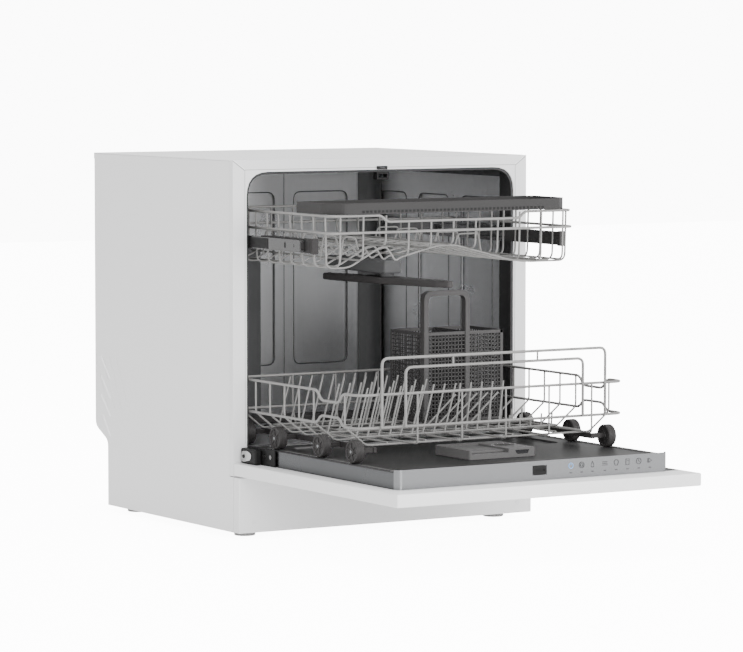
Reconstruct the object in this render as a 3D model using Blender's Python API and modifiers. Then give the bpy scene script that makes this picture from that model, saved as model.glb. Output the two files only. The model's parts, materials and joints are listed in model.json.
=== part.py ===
"""Countertop dishwasher with its door open and both racks drawn out.

Lengths are in metres. X runs left to right as seen from the front, Y runs to the
back from the plane of the front frame, and Z runs up from the floor. Every part
hangs on one empty, which brings the origin below the middle of the object.
"""
import math

import bmesh
import bpy
from mathutils import Vector

# Shared sizes
FIT = 0.0003
RUN_FIT = 0.00012
SHEET = 0.0015
CAB_W = 0.5500
CAB_H = 0.5950
CAB_D = 0.4690
FOOT_H = 0.0100
HALF_W = CAB_W / 2

# Front frame and opening
FRAME_D = 0.0120
PILLAR_W = 0.0246
HEADER_H = 0.0190
OPEN_HALF = HALF_W - PILLAR_W
OPEN_TOP = CAB_H - HEADER_H
FRAME_WALL = 0.0020
OPEN_BOTTOM = 0.1215
OPEN_R = 0.0390
OPEN_FOOT_R = 0.0060
FRAME_BOTTOM = 0.0978
FRAME_CORNER_R = 0.0040
CORNER_STEPS = 6

# Side, top and rear panels
STEP_IN = 0.0440
STEP_Y = CAB_D - STEP_IN
STEP_LOW = 0.1180
STEP_HIGH = 0.1400
STEP_R = 0.0100
GROOVE_L = 0.0950
GROOVE_W = 0.0060
GROOVE_DEEP = 0.0008
GROOVE_TILT = math.radians(63.0)
GROOVE_Y = 0.3700
GROOVE_PITCH = 0.0250
GROOVE_Z = 0.2150
GROOVE_COUNT = 4
TOP_LIP = 0.0100
REAR_RIB_W = 0.0600
REAR_RIB_H = 0.3400
REAR_RIB_OUT = 0.0030
REAR_RIB_R = 0.0120
REAR_RIB_PITCH = 0.1250
REAR_RIB_COUNT = 4

# Plinth, base pan and feet
PLINTH_D = 0.0180
PLINTH_TOP = 0.0975
PLINTH_WALL = 0.0025
PLINTH_R = 0.0060
PAN_WALL = 0.0025
PAN_TOP = 0.0970
POST_W = 0.0180
POST_IN = 0.0450
POST_X = HALF_W - POST_IN
POST_FRONT_Y = 0.0500
POST_REAR_IN = 0.0350
POST_YS = (POST_FRONT_Y, STEP_Y - POST_REAR_IN)
FOOT_R = 0.0160
FOOT_STEM_R = 0.0060
FOOT_PAD_H = 0.0060
FOOT_STEM_UP = 0.0160
FOOT_IN = 0.0400
FOOT_X = HALF_W - FOOT_IN
FOOT_FRONT_Y = 0.0350
FOOT_REAR_IN = 0.0300
FOOT_REAR_Y = STEP_Y - FOOT_REAR_IN

# Tub
TUB_INSET = 0.0004
TUB_HALF = OPEN_HALF - TUB_INSET
TUB_WALL = 0.0014
TUB_BACK_IN = 0.0290
TUB_BACK = CAB_D - TUB_BACK_IN
TUB_FLOOR = 0.1450
TUB_DROP = 0.0010
TUB_TOP = OPEN_TOP - TUB_DROP
TUB_R = 0.0300
TUB_FLANGE = 0.0180
PRESS_DEEP = 0.0025
PRESS_R = 0.0140
PRESS_STEPS = 4
PRESS_LOW = 0.2280
PRESS_HIGH = 0.5230
BACK_PRESS_W = 0.1070
BACK_PRESS_PITCH = 0.1450
SIDE_PRESS_W = 0.0950
SIDE_PRESS_PITCH = 0.1335
SIDE_PRESS_Y = 0.2590
PRESS_STEM = 0.0060

# Gasket and striker
GASKET_T = 0.0036
GASKET_D = 0.0100
STRIKER_W = 0.0220
STRIKER_H = 0.0120
STRIKER_WALL = 0.0030

# Washing system
SUMP_X = 0.0
SUMP_Y = 0.2300
SUMP_R = 0.0850
SUMP_WALL = 0.0030
SUMP_BOTTOM = 0.0650
SUMP_BORE_R = 0.0775
LEDGE_R = 0.0700
LEDGE_Z = 0.1397
PLATE_T = 0.0025
CUP_X = 0.0360
CUP_Y = 0.2080
CUP_R = 0.0260
CUP_LOW = 0.0950
CUP_HIGH = 0.1500
CUP_WALL = 0.0020
HUB_R = 0.0110
HUB_PIN_R = 0.0055
ROUND_STEPS = 32
SMALL_STEPS = 20
ARM_R_LOWER = 0.2000
ARM_R_UPPER = 0.1600
ARM_T = 0.0110
ARM_ROOT = 0.0210
ARM_TIP = 0.0110
ARM_LOW_Z = 0.1545
JET_R = 0.0016
JET_DEEP = 0.0020
DUCT_HALF = 0.0200
DUCT_T = 0.0140
DUCT_TOP = 0.4300
DUCT_R = 0.0060
PUMP_R = 0.0340
PUMP_L = 0.1150
PUMP_X = 0.1500
PUMP_FOOT = 0.0120
DRAIN_R = 0.0240
DRAIN_L = 0.0700
DRAIN_X = -0.1500
PORT_R = 0.0100
PORT_BORE = 0.0070
PORT_L = 0.0240
PORT_Z = 0.0600
INLET_X = 0.2000
DRAIN_PORT_X = 0.1400
PORT_COLLAR = 0.0140
PORT_COLLAR_L = 0.0040

# Door, lying open on its hinges
DOOR_END = -0.4880
DOOR_START = -0.0005
DOOR_LOW = 0.0997
DOOR_HIGH = 0.1195
DOOR_R = 0.0040
DOOR_WALL = 0.0020
EDGE_IN = 0.0044
EDGE_W = 0.0030
EDGE_HALF = OPEN_HALF - EDGE_IN
LINER_HALF = EDGE_HALF - EDGE_W
LINER_END = -0.4370
LINER_START = -0.0100
LINER_HIGH = 0.1450
LINER_R = 0.0120
BASIN_HALF = 0.2050
BASIN_START = -0.0500
BASIN_END = -0.2100
BASIN_DEEP = 0.0050
BASIN_R = 0.0200
STRIP_T = 0.0035
STRIP_HIGH = 0.1490
LATCH_X = 0.0070
LATCH_W = 0.0260
LATCH_H = 0.0150
LATCH_Z = 0.1350
LATCH_DEEP = 0.0025
LATCH_R = 0.0050
LATCH_SLOT_W = 0.0180
LATCH_SLOT_H = 0.0030
HINGE_IN = 0.0029
HINGE_X = OPEN_HALF - HINGE_IN
HINGE_T = 0.0025
HINGE_L = 0.0850
HINGE_H = 0.0260
COVER_W = 0.0120
COVER_L = 0.0460
COVER_H = 0.0240
COVER_R = 0.0050

# Dispenser on the door liner
DISP_LEFT = -0.0600
DISP_RIGHT = 0.0600
DISP_FRONT = -0.3500
DISP_D = 0.1000
DISP_H = 0.0140
DISP_R = 0.0040
WELL_LEFT = -0.0560
WELL_RIGHT = 0.0110
WELL_BACK = 0.0840
TRACK_DEEP = 0.0060
WELL_DEEP = 0.0115
WELL_SIDE = 0.0060
WELL_START = 0.0220
LID_START = 0.0120
LID_T = 0.0030
LID_GRIP = 0.0040
CAP_X = 0.0360
CAP_R = 0.0160
CAP_SINK = 0.0060
WINDOW_LOW = 0.0050
WINDOW_DEEP = 0.0016
WINDOW_HALF = 0.0130
WINDOW_TALL = 0.0060
WINDOW_SLANT = 0.0030
CAP_GRIP_DEEP = 0.0030

# Upper rack
UP_TOP = 0.5140
UP_DIP = 0.5040
UP_MID = 0.4880
UP_FLOOR = 0.4340
UP_IN = 0.0280
UP_TOP_HALF = TUB_HALF - UP_IN
UP_DIP_HALF = 0.1220
UP_LEAN = 0.0020
UP_FLOOR_HALF = UP_TOP_HALF - UP_LEAN
UP_FRONT = -0.2100
UP_FLOOR_FRONT = UP_FRONT + UP_LEAN
UP_REAR = 0.1450
UP_FLOOR_REAR = UP_REAR - UP_LEAN
UP_SIDE_WIRES = 10
UP_LONG_WIRES = 11
RIM_R = 0.0021
WIRE_R = 0.0015
TINE_R = 0.0014
WIRE_BEND = 0.0120
RIM_BEND = 0.0300
BEND_STEPS = 3
STACK = 0.0026

# Cutlery shelf on the upper rack
SHELF_HALF = UP_TOP_HALF
SHELF_FRONT = -0.2120
SHELF_D = 0.1100
SHELF_H = 0.0170
SHELF_WALL = 0.0020
SHELF_R = 0.0140
SHELF_CORNER = 0.0260
SHELF_SLOT_W = 0.0080
SHELF_SLOT_PITCH = 0.0210
SHELF_SLOT_COUNT = 18

# Telescopic rails
RAIL_SPACE = 0.0110
RAIL_X = TUB_HALF - RAIL_SPACE
RAIL_H = 0.0250
RAIL_Z = 0.4670
RAIL_WALL = 0.0020
RAIL_START = 0.0200
RAIL_END = 0.4080
MID_SPACE = 0.0150
MID_W = 0.0100
MID_X = TUB_HALF - MID_SPACE
MID_OUT = MID_X + MID_W
MID_START = -0.1550
MID_L = 0.3760
BRACKET_START = -0.1670
BRACKET_L = 0.1500
BRACKET_H = 0.0210
BRACKET_GAP = 0.0005
BRACKET_OUT = MID_X - BRACKET_GAP
TONGUE_START = -0.1500
TONGUE_L = 0.0900

# Upper spray arm and its feed
UP_ARM_Y = -0.0120
UP_ARM_Z = 0.3940
FEED_HALF = 0.0160
FEED_LOW = 0.4110
FEED_HIGH = UP_FLOOR - WIRE_R - FIT
FEED_START = -0.0320
FEED_END = 0.1500

# Lower rack
LO_TOP = 0.2500
LO_MID = 0.2000
LO_FLOOR = 0.1700
LO_SPACE = 0.0075
LO_HALF = TUB_HALF - LO_SPACE
LO_SLOPE = 0.0375
LO_FLOOR_HALF = LO_HALF - LO_SLOPE
LO_FRONT = -0.3250
LO_REAR = 0.0500
LO_FLOOR_REAR = 0.0420
LO_CROSS_FRONT = -0.2850
LO_CROSS_START = -0.2050
LO_CROSS_END = 0.0300
LO_SIDE_WIRES = 6
LO_LONG_START = -0.1380
LO_LONG_PITCH = 0.0800
LO_LONG_WIRES = 5
DIP_FRONT = -0.2680
DIP_REAR = -0.2150
DIP_TOP = 0.0150
DIP_MID = 0.0120
DIP_RUN = 0.0120
GUARD_HALF = 0.2040
GUARD_TOP = 0.3050
GUARD_IN_HALF = 0.1620
GUARD_IN_TOP = 0.2900
GUARD_R = 0.0022
GUARD_Y = LO_FRONT - RIM_R - GUARD_R - FIT
GUARD_STRUT_X = 0.0770
GUARD_BEND = 0.0110
TINE_PITCH = 0.0200
TINE_H = 0.0750
TINE_LEAN = math.radians(15.5)
TINE_START = -0.1860
TINE_BASE_Z = LO_FLOOR + STACK + WIRE_R + FIT + WIRE_R
LONG_ROW_TINES = 19
SHORT_ROW_TINES = 9
LONG_ROW_YS = (-0.2250, -0.1400)
SHORT_ROW_YS = (-0.0550, 0.0100)
WHEEL_R = 0.0177
WHEEL_BORE = 0.00228
WHEEL_T = 0.0080
WHEEL_SPACE = 0.0190
WHEEL_X = TUB_HALF - WHEEL_SPACE
WHEEL_Z = TUB_FLOOR + WHEEL_R + FIT
WHEEL_YS = (-0.2960, -0.1980, -0.0650, 0.0330)
AXLE_R = 0.0022
AXLE_STEPS = 12
CARRIER_T = 0.0050
CARRIER_H = 0.0080
CARRIER_MORE = 0.0070
CARRIER_IN = 0.0030

# Cutlery basket
BASKET_X = 0.1030
BASKET_Y = -0.0290
BASKET_W = 0.1500
BASKET_D = 0.1000
BASKET_LOW = LO_FLOOR + STACK + WIRE_R + FIT
BASKET_HIGH = 0.3180
BASKET_WALL = 0.0025
BASKET_R = 0.0060
WINDOW_W = 0.0140
WINDOW_H = 0.0180
WINDOW_PITCH_X = 0.0230
WINDOW_PITCH_Z = 0.0270
WINDOW_COLUMNS = 6
WINDOW_ROWS = 4
SIDE_COLUMNS = 3
COLUMN_X = 0.0820
COLUMN_W = 0.0080
HANDLE_TOP = 0.3840
HANDLE_LOW = 0.2900
HANDLE_T = 0.0060

# The origin lies midway between the door's end and the rear ribs
REAR_OUT = CAB_D - SHEET / 2 - FIT + REAR_RIB_OUT
FRONT_Y = (-DOOR_END - REAR_OUT) / 2

COLOURS = {
    "white_sheet": ((0.86, 0.87, 0.88, 1.0), 0.0, 0.35),
    "steel": ((0.62, 0.63, 0.64, 1.0), 1.0, 0.32),
    "chrome": ((0.75, 0.75, 0.76, 1.0), 1.0, 0.12),
    "dark_plastic": ((0.045, 0.048, 0.055, 1.0), 0.0, 0.45),
    "black_rubber": ((0.02, 0.02, 0.02, 1.0), 0.0, 0.8),
    "grey_plastic": ((0.36, 0.37, 0.39, 1.0), 0.0, 0.5),
    "coated_wire": ((0.55, 0.56, 0.58, 1.0), 0.0, 0.4),
    "white_plastic": ((0.82, 0.82, 0.80, 1.0), 0.0, 0.45),
    "black_glass": ((0.01, 0.01, 0.012, 1.0), 0.0, 0.08),
}

for old in list(bpy.data.objects):
    bpy.data.objects.remove(old, do_unlink=True)

PARTS = bpy.data.collections.new("countertop_dishwasher")
TOOLS = bpy.data.collections.new("cutters")
for group in (PARTS, TOOLS):
    bpy.context.scene.collection.children.link(group)
ROOT = bpy.data.objects.new("front_plane", None)
PARTS.objects.link(ROOT)
ROOT.location = (0.0, FRONT_Y, 0.0)

TURNS = {
    "X": (math.pi / 2, 0.0, math.pi / 2),
    "Y": (math.pi / 2, 0.0, 0.0),
    "Z": (0.0, 0.0, 0.0),
}


def material_for(name, finish):
    """Return a Principled material for one part."""
    colour, metallic, roughness = COLOURS[finish]
    material = bpy.data.materials.new(name)
    material.use_nodes = True
    shader = material.node_tree.nodes["Principled BSDF"]
    shader.inputs["Base Color"].default_value = colour
    shader.inputs["Metallic"].default_value = metallic
    shader.inputs["Roughness"].default_value = roughness
    material.diffuse_color = colour
    return material


def add(name, mesh, finish, at=(0.0, 0.0, 0.0), axis="Z", parent=None):
    """Link a mesh as a part, or as a cutter where it has no finish."""
    obj = bpy.data.objects.new(name, mesh)
    obj.location = at
    obj.rotation_euler = TURNS[axis]
    obj.parent = parent or ROOT
    if finish:
        PARTS.objects.link(obj)
        mesh.materials.append(material_for(name, finish))
    else:
        TOOLS.objects.link(obj)
        obj.hide_render = True
        obj.display_type = "WIRE"
    return obj


def mesh_of(name, bm):
    """Turn a bmesh into a mesh with its normals facing out."""
    bmesh.ops.recalc_face_normals(bm, faces=bm.faces)
    mesh = bpy.data.meshes.new(name)
    bm.to_mesh(mesh)
    bm.free()
    return mesh


def prism(name, outlines, length, finish, at=(0.0, 0.0, 0.0), axis="Z"):
    """Extrude one or more closed outlines along an axis, from a lower plane."""
    if not isinstance(outlines[0][0], (tuple, list)):
        outlines = [outlines]
    bm = bmesh.new()
    for outline in outlines:
        low = [bm.verts.new((u, v, 0.0)) for u, v in outline]
        high = [bm.verts.new((u, v, length)) for u, v in outline]
        bm.faces.new(low)
        bm.faces.new(high)
        count = len(outline)
        for i in range(count):
            j = (i + 1) % count
            bm.faces.new((low[i], low[j], high[j], high[i]))
    place = Vector(at)
    if axis == "Y":
        place.y += length
    return add(name, mesh_of(name, bm), finish, place, axis)


def boxes(name, spans, finish, at=(0.0, 0.0, 0.0)):
    """Build one mesh of separate boxes from low and high corners."""
    bm = bmesh.new()
    for low, high in spans:
        made = bmesh.ops.create_cube(bm, size=1.0)["verts"]
        size = Vector(high) - Vector(low)
        middle = (Vector(high) + Vector(low)) / 2
        for vert in made:
            vert.co = Vector(c * s for c, s in zip(vert.co, size)) + middle
    return add(name, mesh_of(name, bm), finish, at)


def box(name, low, high, finish, bevel=0.0, steps=2):
    """Build one box whose origin is its middle, with its edges rounded."""
    middle = (Vector(low) + Vector(high)) / 2
    half = (Vector(high) - Vector(low)) / 2
    obj = boxes(name, [(-half, half)], finish, middle)
    if bevel:
        soften(obj, bevel, steps)
    return obj


def soften(obj, width, steps=2):
    """Round the sharp edges of an object."""
    bevel = obj.modifiers.new("rounded", "BEVEL")
    bevel.width = width
    bevel.segments = steps
    bevel.limit_method = "ANGLE"
    return obj


def cylinder(name, radius, length, finish, at, axis="Z", steps=ROUND_STEPS):
    """Build a round bar from a lower plane along an axis."""
    outline = circle(radius, steps)
    return prism(name, outline, length, finish, at, axis)


def circle(radius, steps, middle=(0.0, 0.0)):
    """Return the outline of a circle."""
    return [(middle[0] + radius * math.cos(math.tau * i / steps),
             middle[1] + radius * math.sin(math.tau * i / steps)) for i in range(steps)]


def turned(name, profile, finish, at, closed=False, steps=ROUND_STEPS, axis="Z"):
    """Turn a profile of radius and height pairs about its own axis."""
    bm = bmesh.new()
    verts = [bm.verts.new((r, 0.0, z)) for r, z in profile]
    for a, b in zip(verts, verts[1:]):
        bm.edges.new((a, b))
    if closed:
        bm.edges.new((verts[-1], verts[0]))
    mesh = bpy.data.meshes.new(name)
    bm.to_mesh(mesh)
    bm.free()
    obj = add(name, mesh, finish, at, axis)
    screw = obj.modifiers.new("turned", "SCREW")
    screw.steps = steps
    screw.render_steps = steps
    screw.use_merge_vertices = True
    screw.merge_threshold = 0.00001
    return obj


def rounded(points, radius, steps=BEND_STEPS, closed=False):
    """Return a line of points with each inner corner turned into an arc."""
    points = [Vector(p) for p in points]
    count = len(points)
    out = []
    for i, corner in enumerate(points):
        if not closed and i in (0, count - 1):
            out.append(corner)
            continue
        back = points[i - 1] - corner
        ahead = points[(i + 1) % count] - corner
        reach = min(radius, back.length * 0.45, ahead.length * 0.45)
        start = corner + back.normalized() * reach
        end = corner + ahead.normalized() * reach
        for k in range(steps + 1):
            t = k / steps
            out.append(start * (1 - t) ** 2 + corner * 2 * t * (1 - t) + end * t ** 2)
    return out


def flat(points, radius, steps=CORNER_STEPS):
    """Return a closed flat outline with rounded corners as plain pairs."""
    line = rounded([(u, v, 0.0) for u, v in points], radius, steps, True)
    return [(p.x, p.y) for p in line]


def rect(left, right, low, high, radius=0.0, steps=CORNER_STEPS):
    """Return the outline of a rectangle, rounded where a radius is given."""
    points = [(left, low), (right, low), (right, high), (left, high)]
    return flat(points, radius, steps) if radius else points


def wires(name, paths, radius, sides, finish=None, closed=False, at=(0.0, 0.0, 0.0)):
    """Sweep round wire along separate paths and return it as one mesh object."""
    curve = bpy.data.curves.new(name, "CURVE")
    curve.dimensions = "3D"
    curve.bevel_depth = radius
    curve.bevel_resolution = sides // 2 - 2
    curve.use_fill_caps = True
    for path in paths:
        spline = curve.splines.new("POLY")
        spline.points.add(len(path) - 1)
        for point, place in zip(spline.points, path):
            point.co = (*place, 1.0)
        spline.use_cyclic_u = closed
    holder = bpy.data.objects.new(name + "_line", curve)
    TOOLS.objects.link(holder)
    graph = bpy.context.evaluated_depsgraph_get()
    swept = bpy.data.meshes.new_from_object(holder.evaluated_get(graph))
    bpy.data.objects.remove(holder, do_unlink=True)
    bm = bmesh.new()
    bm.from_mesh(swept)
    bmesh.ops.remove_doubles(bm, verts=bm.verts, dist=0.000001)
    return add(name, mesh_of(name, bm), finish, at)


def combine(target, operand, operation):
    """Add an exact Boolean of an operand to a target."""
    step = target.modifiers.new(operation.lower(), "BOOLEAN")
    step.operation = operation
    step.solver = "EXACT"
    step.object = operand
    return target


def cut(target, operand):
    """Take an operand away from a target."""
    return combine(target, operand, "DIFFERENCE")


def join(target, operand):
    """Weld an operand to a target."""
    return combine(target, operand, "UNION")


def spread(low, high, count):
    """Return evenly spaced values from low to high, both included."""
    return [low + (high - low) * i / (count - 1) for i in range(count)]


# Cabinet panels

def side_panel(side, name):
    """Sheet side with its stepped rear edge and slanted grooves."""
    top = CAB_H - SHEET - FIT
    start = FRAME_D + FIT
    outline = [(FIT, FOOT_H), (STEP_Y, FOOT_H)]
    corner = rounded([(STEP_Y, FOOT_H, 0), (STEP_Y, STEP_LOW, 0), (CAB_D, STEP_HIGH, 0), (CAB_D, top, 0)], STEP_R)
    outline += [(p.x, p.y) for p in corner[1:-1]]
    outline += [(CAB_D, top), (start, top), (start, PLINTH_TOP), (FIT, PLINTH_TOP)]
    left = -HALF_W if side < 0 else HALF_W - SHEET
    panel = prism(name, outline, SHEET, "white_sheet", (left, 0, 0), "X")
    grooves = []
    for i in range(GROOVE_COUNT):
        middle = (GROOVE_Y + i * GROOVE_PITCH, GROOVE_Z)
        along = Vector((math.cos(GROOVE_TILT), math.sin(GROOVE_TILT))) * GROOVE_L / 2
        across = Vector((-math.sin(GROOVE_TILT), math.cos(GROOVE_TILT))) * GROOVE_W / 2
        m = Vector(middle)
        grooves.append(flat([m - along - across, m + along - across, m + along + across, m - along + across],
                            GROOVE_W / 2, 3))
    depth = GROOVE_DEEP + FIT
    face = -HALF_W - FIT if side < 0 else HALF_W - GROOVE_DEEP
    cut(panel, prism(name + "_grooves", grooves, depth, None, (face, 0, 0), "X"))


side_panel(-1, "side_panel_left")
side_panel(1, "side_panel_right")

# The top panel has a lip turned down at the back
top_start = FRAME_D + FIT
top_panel = prism("top_panel", [(top_start, CAB_H - SHEET), (CAB_D, CAB_H - SHEET), (CAB_D, CAB_H - TOP_LIP),
                                (CAB_D + SHEET, CAB_H - TOP_LIP), (CAB_D + SHEET, CAB_H), (top_start, CAB_H)],
                  CAB_W, "white_sheet", (-HALF_W, 0, 0), "X")

# The rear panel carries pressed ribs
rear_half = HALF_W - SHEET - FIT
rear_face = CAB_D - SHEET - FIT
rear_panel = prism("rear_panel", rect(-rear_half, rear_half, STEP_HIGH + SHEET, CAB_H - SHEET - FIT), SHEET,
                   "white_sheet", (0, rear_face, 0), "Y")
rib_mid = (STEP_HIGH + CAB_H) / 2
rib_outlines = []
for i in range(REAR_RIB_COUNT):
    rib_x = (i - (REAR_RIB_COUNT - 1) / 2) * REAR_RIB_PITCH
    rib_outlines.append(rect(rib_x - REAR_RIB_W / 2, rib_x + REAR_RIB_W / 2, rib_mid - REAR_RIB_H / 2,
                             rib_mid + REAR_RIB_H / 2, REAR_RIB_R, 4))
join(rear_panel, prism("rear_ribs", rib_outlines, REAR_RIB_OUT, None, (0, rear_face + SHEET / 2, 0), "Y"))

# Front frame round the opening
frame_outline = rect(-HALF_W, HALF_W, FRAME_BOTTOM, CAB_H, FRAME_CORNER_R, 3)
front_frame = prism("front_frame", frame_outline, FRAME_D, "white_sheet", (0, 0, 0), "Y")
opening_top = rounded([(-OPEN_HALF, OPEN_BOTTOM, 0), (-OPEN_HALF, OPEN_TOP, 0), (OPEN_HALF, OPEN_TOP, 0),
                       (OPEN_HALF, OPEN_BOTTOM, 0)], OPEN_R, CORNER_STEPS)
opening = [(p.x, p.y) for p in opening_top]
cut(front_frame, prism("opening_cut", opening, FRAME_D + 2 * FIT, None, (0, -FIT, 0), "Y"))
channel_half = (HALF_W - FRAME_WALL, OPEN_HALF + FRAME_WALL)
channel = [rect(min(side * a for a in channel_half), max(side * a for a in channel_half), OPEN_BOTTOM, OPEN_TOP)
           for side in (-1, 1)]
cut(front_frame, prism("frame_channels", channel, FRAME_D, None, (0, FRAME_WALL, 0), "Y"))

# Plinth panel, hollow from behind
plinth = box("plinth_panel", (-HALF_W, -PLINTH_D, FOOT_H), (HALF_W, 0, PLINTH_TOP), "white_sheet")
soften(plinth, PLINTH_WALL / 2, 2)
cut(plinth, box("plinth_hollow", (-HALF_W + PLINTH_WALL, -PLINTH_D + PLINTH_WALL, FOOT_H + PLINTH_WALL),
                (HALF_W - PLINTH_WALL, FIT, PLINTH_TOP - PLINTH_WALL), None))

# Base pan with posts below the tub
pan_half = HALF_W - SHEET - FIT
pan_back = STEP_Y - FIT
base_pan = box("base_pan", (-pan_half, FIT, FOOT_H), (pan_half, pan_back, PAN_TOP), "grey_plastic")
cut(base_pan, box("pan_hollow", (-pan_half + PAN_WALL, FIT + PAN_WALL, FOOT_H + PAN_WALL),
                  (pan_half - PAN_WALL, pan_back - PAN_WALL, PAN_TOP + FIT), None))
tub_under = TUB_FLOOR - TUB_WALL
posts = []
for post_y in POST_YS:
    for side in (-1, 1):
        posts.append(((side * POST_X - POST_W / 2, post_y - POST_W / 2, FOOT_H + PAN_WALL / 2),
                      (side * POST_X + POST_W / 2, post_y + POST_W / 2, tub_under - FIT)))
join(base_pan, boxes("pan_posts", posts, None))


def foot(side, y, name):
    """Screw foot below the base pan."""
    up = FOOT_H + PAN_WALL
    profile = [(0, FOOT_H - FIT), (FOOT_R * 0.7, FOOT_H - FIT), (FOOT_R, FOOT_PAD_H), (FOOT_R, 0.0), (0, 0.0)]
    turned(name, profile, "dark_plastic", (side * FOOT_X, y, 0.0), steps=SMALL_STEPS)


for foot_side, side_word in ((-1, "left"), (1, "right")):
    foot(foot_side, FOOT_FRONT_Y, "foot_front_" + side_word)
    foot(foot_side, FOOT_REAR_Y, "foot_rear_" + side_word)

# Tub with pressed panels in three walls
tub_start = FRAME_D + FIT
over = TUB_WALL


def tub_plan(half, back, start, radius):
    """Plan of the tub with rounded rear corners."""
    line = rounded([(-half, start, 0), (-half, back, 0), (half, back, 0), (half, start, 0)], radius, CORNER_STEPS)
    return [(p.x, p.y) for p in line]


tub = prism("tub", tub_plan(TUB_HALF + TUB_WALL, TUB_BACK + TUB_WALL, tub_start, TUB_R + TUB_WALL),
            TUB_TOP + TUB_WALL - tub_under, "steel", (0, 0, tub_under))
flange = rect(-TUB_HALF - TUB_FLANGE, TUB_HALF + TUB_FLANGE, FRAME_BOTTOM + TUB_WALL, TUB_TOP + TUB_FLANGE,
              TUB_FLANGE, 3)
join(tub, prism("tub_flange", flange, TUB_WALL, None, (0, tub_start, 0), "Y"))


def presses(grow, proud, name):
    """Pressed panels: wide plates just outside or inside the tub walls."""
    low = PRESS_LOW - grow
    high = PRESS_HIGH + grow
    back = []
    for i in (-1, 0, 1):
        x = i * BACK_PRESS_PITCH
        back.append(rect(x - BACK_PRESS_W / 2 - grow, x + BACK_PRESS_W / 2 + grow, low, high, PRESS_R, PRESS_STEPS))
    sides = []
    for i in (-1, 0, 1):
        y = SIDE_PRESS_Y + i * SIDE_PRESS_PITCH - SIDE_PRESS_W / 6
        sides.append(rect(y - SIDE_PRESS_W / 2 - grow, y + SIDE_PRESS_W / 2 + grow, low, high, PRESS_R, PRESS_STEPS))
    deep = PRESS_STEM
    return (
        prism(name + "_back", back, deep, None, (0, TUB_BACK + proud - deep, 0), "Y"),
        prism(name + "_right", sides, deep, None, (TUB_HALF + proud - deep, 0, 0), "X"),
        prism(name + "_left", sides, deep, None, (-TUB_HALF - proud, 0, 0), "X"),
    )


for operand in presses(TUB_WALL, PRESS_DEEP + TUB_WALL, "press_out"):
    join(tub, operand)
cut(tub, prism("tub_inside", tub_plan(TUB_HALF, TUB_BACK, -over, TUB_R), TUB_TOP - TUB_FLOOR, None,
               (0, 0, TUB_FLOOR)))
for operand in presses(0.0, PRESS_DEEP, "press_in"):
    cut(tub, operand)
cut(tub, cylinder("sump_hole", SUMP_BORE_R, 4 * TUB_WALL, None, (SUMP_X, SUMP_Y, tub_under - TUB_WALL)))

# Gasket strip along three sides of the opening
gasket_out = OPEN_HALF - FIT
gasket_top = OPEN_TOP - FIT
gasket_low = TUB_FLOOR
outer = rounded([(-gasket_out, gasket_low, 0), (-gasket_out, gasket_top, 0), (gasket_out, gasket_top, 0),
                 (gasket_out, gasket_low, 0)], OPEN_R, CORNER_STEPS)
gasket_in = gasket_out - GASKET_T
inner = rounded([(gasket_in, gasket_low, 0), (gasket_in, gasket_top - GASKET_T, 0),
                 (-gasket_in, gasket_top - GASKET_T, 0), (-gasket_in, gasket_low, 0)], OPEN_R - GASKET_T,
                CORNER_STEPS)
gasket_line = [(p.x, p.y) for p in outer + inner]
prism("door_gasket", gasket_line, GASKET_D, "black_rubber", (0, FRAME_D - GASKET_D, 0), "Y")

# Striker for the door catch, below the top strip
striker_top = gasket_top - GASKET_T - FIT
striker = box("latch_striker", (-STRIKER_W / 2, FIT, striker_top - STRIKER_H),
              (STRIKER_W / 2, FRAME_D, striker_top), "dark_plastic", STRIKER_WALL / 4)
cut(striker, box("striker_slot", (-STRIKER_W / 2 + STRIKER_WALL, -FIT, striker_top - STRIKER_H + STRIKER_WALL),
                 (STRIKER_W / 2 - STRIKER_WALL, FRAME_D + FIT, striker_top - STRIKER_WALL), None))

# Sump, filter and lower spray arm
sump_top = tub_under - FIT
turned("sump", [(0, SUMP_BOTTOM + SUMP_WALL), (LEDGE_R, SUMP_BOTTOM + SUMP_WALL), (LEDGE_R, LEDGE_Z),
                (SUMP_BORE_R, LEDGE_Z), (SUMP_BORE_R, sump_top), (SUMP_R, sump_top), (SUMP_R, SUMP_BOTTOM),
                (0, SUMP_BOTTOM)], "grey_plastic", (SUMP_X, SUMP_Y, 0.0))
plate_low = LEDGE_Z + FIT
plate_high = plate_low + PLATE_T
filter_plate = cylinder("filter_plate", SUMP_BORE_R - FIT, PLATE_T, "steel", (SUMP_X, SUMP_Y, plate_low))
hub_top = ARM_LOW_Z - FIT
join(filter_plate, cylinder("hub_post", HUB_R, hub_top - plate_low - PLATE_T / 2, None,
                            (SUMP_X, SUMP_Y, plate_low + PLATE_T / 2), steps=SMALL_STEPS))
join(filter_plate, cylinder("hub_pin", HUB_PIN_R, ARM_T, None, (SUMP_X, SUMP_Y, hub_top - PLATE_T),
                            steps=SMALL_STEPS))
cut(filter_plate, cylinder("cup_hole", CUP_R + FIT, 4 * PLATE_T, None, (CUP_X, CUP_Y, plate_low - PLATE_T)))
cup_flange = CUP_R + 2 * CUP_WALL
turned("filter_cup", [(0, CUP_LOW + CUP_WALL), (CUP_R - CUP_WALL, CUP_LOW + CUP_WALL),
                      (CUP_R - CUP_WALL, CUP_HIGH), (cup_flange, CUP_HIGH), (cup_flange, plate_high + FIT),
                      (CUP_R, plate_high + FIT), (CUP_R, CUP_LOW), (0, CUP_LOW)],
       "grey_plastic", (CUP_X, CUP_Y, 0.0), steps=SMALL_STEPS)


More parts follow.
